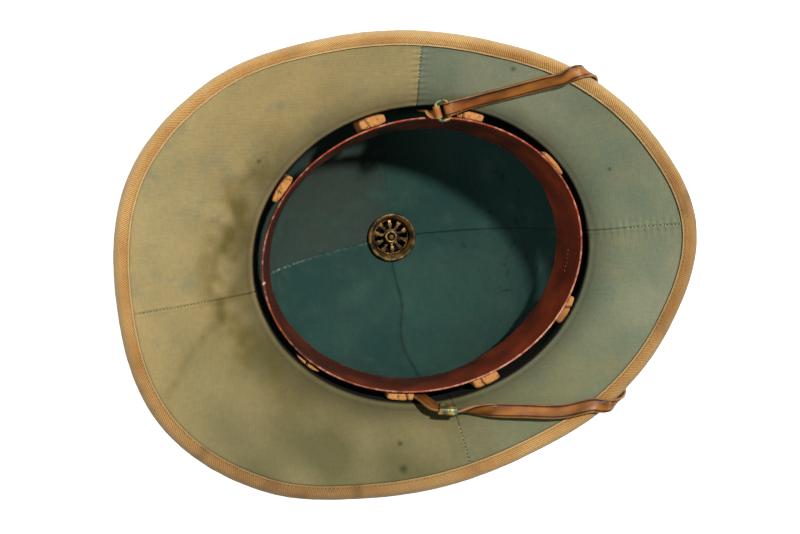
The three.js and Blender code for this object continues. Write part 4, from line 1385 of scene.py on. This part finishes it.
def strap_cut(travelled, across, rise):
    """The strap's cut edges show paler leather, as do the cracks where it bends over the bound edge."""
    where = Vector((travelled, across, 0))
    pale = 0.6 * near(abs(across), STRAP_WIDTH / 2, 0.4)
    cracked = sum(near(travelled, fold, 0.9) for fold in FOLDS) * (0.5 + blotch(where, 2, 64))
    return max(0, min(0.9, pale * (0.75 + 0.5 * blotch(where, 6, 63)) + cracked))


ring_heading = upright(RING_TURN, 1, 0)
strap_rows = [
    *round_bar(RING_AT + ring_heading * RING_APART / 2, ring_heading, UP, STRAP_THICK, 8),
    *[on_brim(*row) for row in ON_RIGHT_BRIM],
    *over_rim(1),
    *reversed(over_rim(-1)),
    *[on_brim(*row) for row in ON_LEFT_BRIM],
    *[in_gap(*row) for row in INTO_GAP],
]
chin_path = eased(strap_path(strap_rows, 1.3), 14)
furthest = max(place[1].xy.length for place in chin_path)
at_rim = [place[0] for place in chin_path if place[1].xy.length > furthest - 5]
FOLDS = [at_rim[0], at_rim[-1]]  # where the strap starts and stops bending over the bound edge
strap_mesh = strap_piece(chin_path, creased_section(STRAP_WIDTH, STRAP_THICK, 1.15, 0.3),
    {"golden": strap_golden, "ruddy": strap_ruddy, "edge": strap_edge, "cut": strap_cut})
finish_piece(strap_mesh, "leather_chin_strap", bridle_leather, "tan_leather", "chin_strap")

# ---- Ring and its tab on the wearer's right ----
# A short tab of the same leather, cut thinner, is sewn behind the sweatband. It holds a ring of brass wire.
TAB_WIDTH, TAB_THICK = 7.5, 1.2
TAB_INTO_GAP = [(81.6, 87.4, 117.5, 0), (82, 87, 109, 0), (82.2, 87, 100, 0)]
tab_rows = round_bar(RING_AT - ring_heading * RING_APART / 2, -UP, -ring_heading, TAB_THICK, 4)
tab_rows += [in_gap(*row) for row in TAB_INTO_GAP]
tab_mesh = strap_piece(strap_path(tab_rows, 0.8), creased_section(TAB_WIDTH, TAB_THICK, 0.9, 0.12), {
    "golden": lambda travelled, across, rise: 0.8,
    "ruddy": lambda travelled, across, rise: 0.2 * near(travelled, 10, 6),
    "edge": lambda travelled, across, rise: 0.3 * near(travelled, 26, 8),
    "cut": lambda travelled, across, rise: near(abs(across), TAB_WIDTH / 2, 1.1),
})
finish_piece(tab_mesh, "leather_tab", bridle_leather, "tan_leather", "strap_tab")

verdigris_brass = brass_material("verdigris_brass", "#C9AC66", "#5E4E28", "#4F7F74", 0.5)


def wire_loop(points, radius, sides):
    """A closed loop of round wire through points, in millimetres."""
    mesh = bmesh.new()
    bmesh.ops.create_grid(mesh, x_segments=len(points), y_segments=sides, size=0.5)
    for vertex in mesh.verts:
        index = round((vertex.co.x + 0.5) * len(points)) % len(points)
        turn = math.tau * round((vertex.co.y + 0.5) * sides) / sides
        along = (points[(index + 1) % len(points)] - points[index - 1]).normalized()
        out = along.cross(UP)
        vertex.co = (points[index] + (out * math.cos(turn) + UP * math.sin(turn)) * radius) * MM
    bmesh.ops.remove_doubles(mesh, verts=mesh.verts, dist=1e-7)
    bmesh.ops.recalc_face_normals(mesh, faces=mesh.faces)
    return mesh


RING_LONG, RING_CORNER = 12.0, 2.2
ring_points = []
for corner_x, corner_y, first in ((1, 1, 0), (-1, 1, 90), (-1, -1, 180), (1, -1, 270)):
    middle = Vector((corner_x * (RING_APART / 2 - RING_CORNER), corner_y * (RING_LONG / 2 - RING_CORNER), 0))
    for angle in steps(first, first + 90, 10):
        ring_points.append(middle + upright(math.radians(angle), RING_CORNER, 0))
ring_points = [RING_AT + Matrix.Rotation(RING_TURN, 3, "Z") @ point for point in ring_points]
finish_piece(wire_loop(ring_points, 1.0, 14), "wire_ring", verdigris_brass, "brass", "strap_ring")

# ---- Slide on the wearer's left ----
# A sleeve of sheet brass, closed round the strap and bent with it, keeps the strap's turned end flat.
SLIDE_FROM, SLIDE_TO, SLIDE_WALL, SLIDE_SLACK = -2.5, 8.6, 0.7, 0.5


def flat_loop(half_width, half_rise, radius):
    """A flattened loop with round corners, as (across, rise) points."""
    loop = []
    for side_x, side_y, first in ((1, 1, 0), (-1, 1, 90), (-1, -1, 180), (1, -1, 270)):
        middle = (side_x * (half_width - radius), side_y * (half_rise - radius))
        loop += arc_section(middle, radius, first, first + 90, 4)
    return loop


slide_path = [
    place for place in chin_path
    if place[1].y < 0 and place[1].z > WALL_END_Z + 10 and SLIDE_FROM < place[1].x < SLIDE_TO
]
half_width, half_rise = STRAP_WIDTH / 2 + SLIDE_SLACK, STRAP_THICK / 2 + SLIDE_SLACK
outer_loop = flat_loop(half_width + SLIDE_WALL, half_rise + SLIDE_WALL, 0.9)
inner_loop = flat_loop(half_width, half_rise, 0.3)
mesh = bmesh.new()
rings = []
for loop_points in (outer_loop, inner_loop):
    for _, middle, face, aside in slide_path:
        ring_verts = [mesh.verts.new((middle + aside * x + face * y) * MM) for x, y in loop_points]
        rings.append([mesh.edges.new((ring_verts[i - 1], ring_verts[i])) for i in range(len(ring_verts))])
count = len(slide_path)
pairs = [(i, i + 1) for i in range(count - 1)] + [(count + i, count + i + 1) for i in range(count - 1)]
for first, second in pairs + [(0, count), (count - 1, 2 * count - 1)]:
    bmesh.ops.bridge_loops(mesh, edges=rings[first] + rings[second])
bmesh.ops.recalc_face_normals(mesh, faces=mesh.faces)
finish_piece(mesh, "brass_slide", verdigris_brass, "brass", "strap_slide")

# ---- Stitches of the cloth seams ----
# The underlay's panels are oversewn by hand with green thread that has faded paler than the cloth. The
# stitches are close at the bound edge and lost in the cloth towards the opening.
seam_thread = thread_material("faded_green_thread", "#8E8C68", "#B9B692")
random.seed(7)
mesh = bmesh.new()
STITCH_PITCH = 2.3
for seam in UNDERLAY_SEAMS:
    whole = brim_length(seam)
    for i in range(int(whole * 0.62 / STITCH_PITCH)):
        back = TAPE_COVER + 1.2 + i * STITCH_PITCH + random.uniform(-0.3, 0.3)
        mark = BRIM - back / whole
        turn = leaned(seam, station(seam, mark)[0])
        lift = GAP + CLOTH + underlay_rise(turn, mark) + 0.25
        along = raised(turn, mark - 0.01, lift) - raised(turn, mark, lift)
        aside = UP.cross(along.normalized())
        slant = (aside + along.normalized() * (0.9 if i % 2 else -0.5)).normalized()
        shift = aside * random.uniform(-0.4, 0.4)
        add_stitch(mesh, raised(turn, mark, lift) + shift, slant, random.uniform(1.7, 2.6), 0.3)
finish_piece(mesh, "underlay_stitches", seam_thread, "faded_green_cotton")

# A line of small machine stitches runs round the tape, close to its selvage.
tape_thread = thread_material("tan_sewing_thread", "#7A5E30", "#B89560")
mesh = bmesh.new()
TAPE_STITCH, STITCH_IN = 2.6, 1.35
around = edge_travel(720)
half_degree = 0
for i in range(int(around / TAPE_STITCH)):
    while edge_travel(half_degree + 1) < i * TAPE_STITCH:
        half_degree += 1
    bearing = math.radians(half_degree / 2)
    bearing += math.radians(0.5) * (i * TAPE_STITCH - edge_travel(half_degree)) / (
        edge_travel(half_degree + 1) - edge_travel(half_degree))
    row = (-1 + STITCH_IN / TAPE_HALF, 0)
    here, ahead = tape_point(bearing, row), tape_point(bearing + 0.01, row)
    add_stitch(mesh, here, ahead - here, 1.9, 0.2)
finish_piece(mesh, "tape_stitches", tape_thread, "khaki_tape")

bpy.context.view_layer.update()
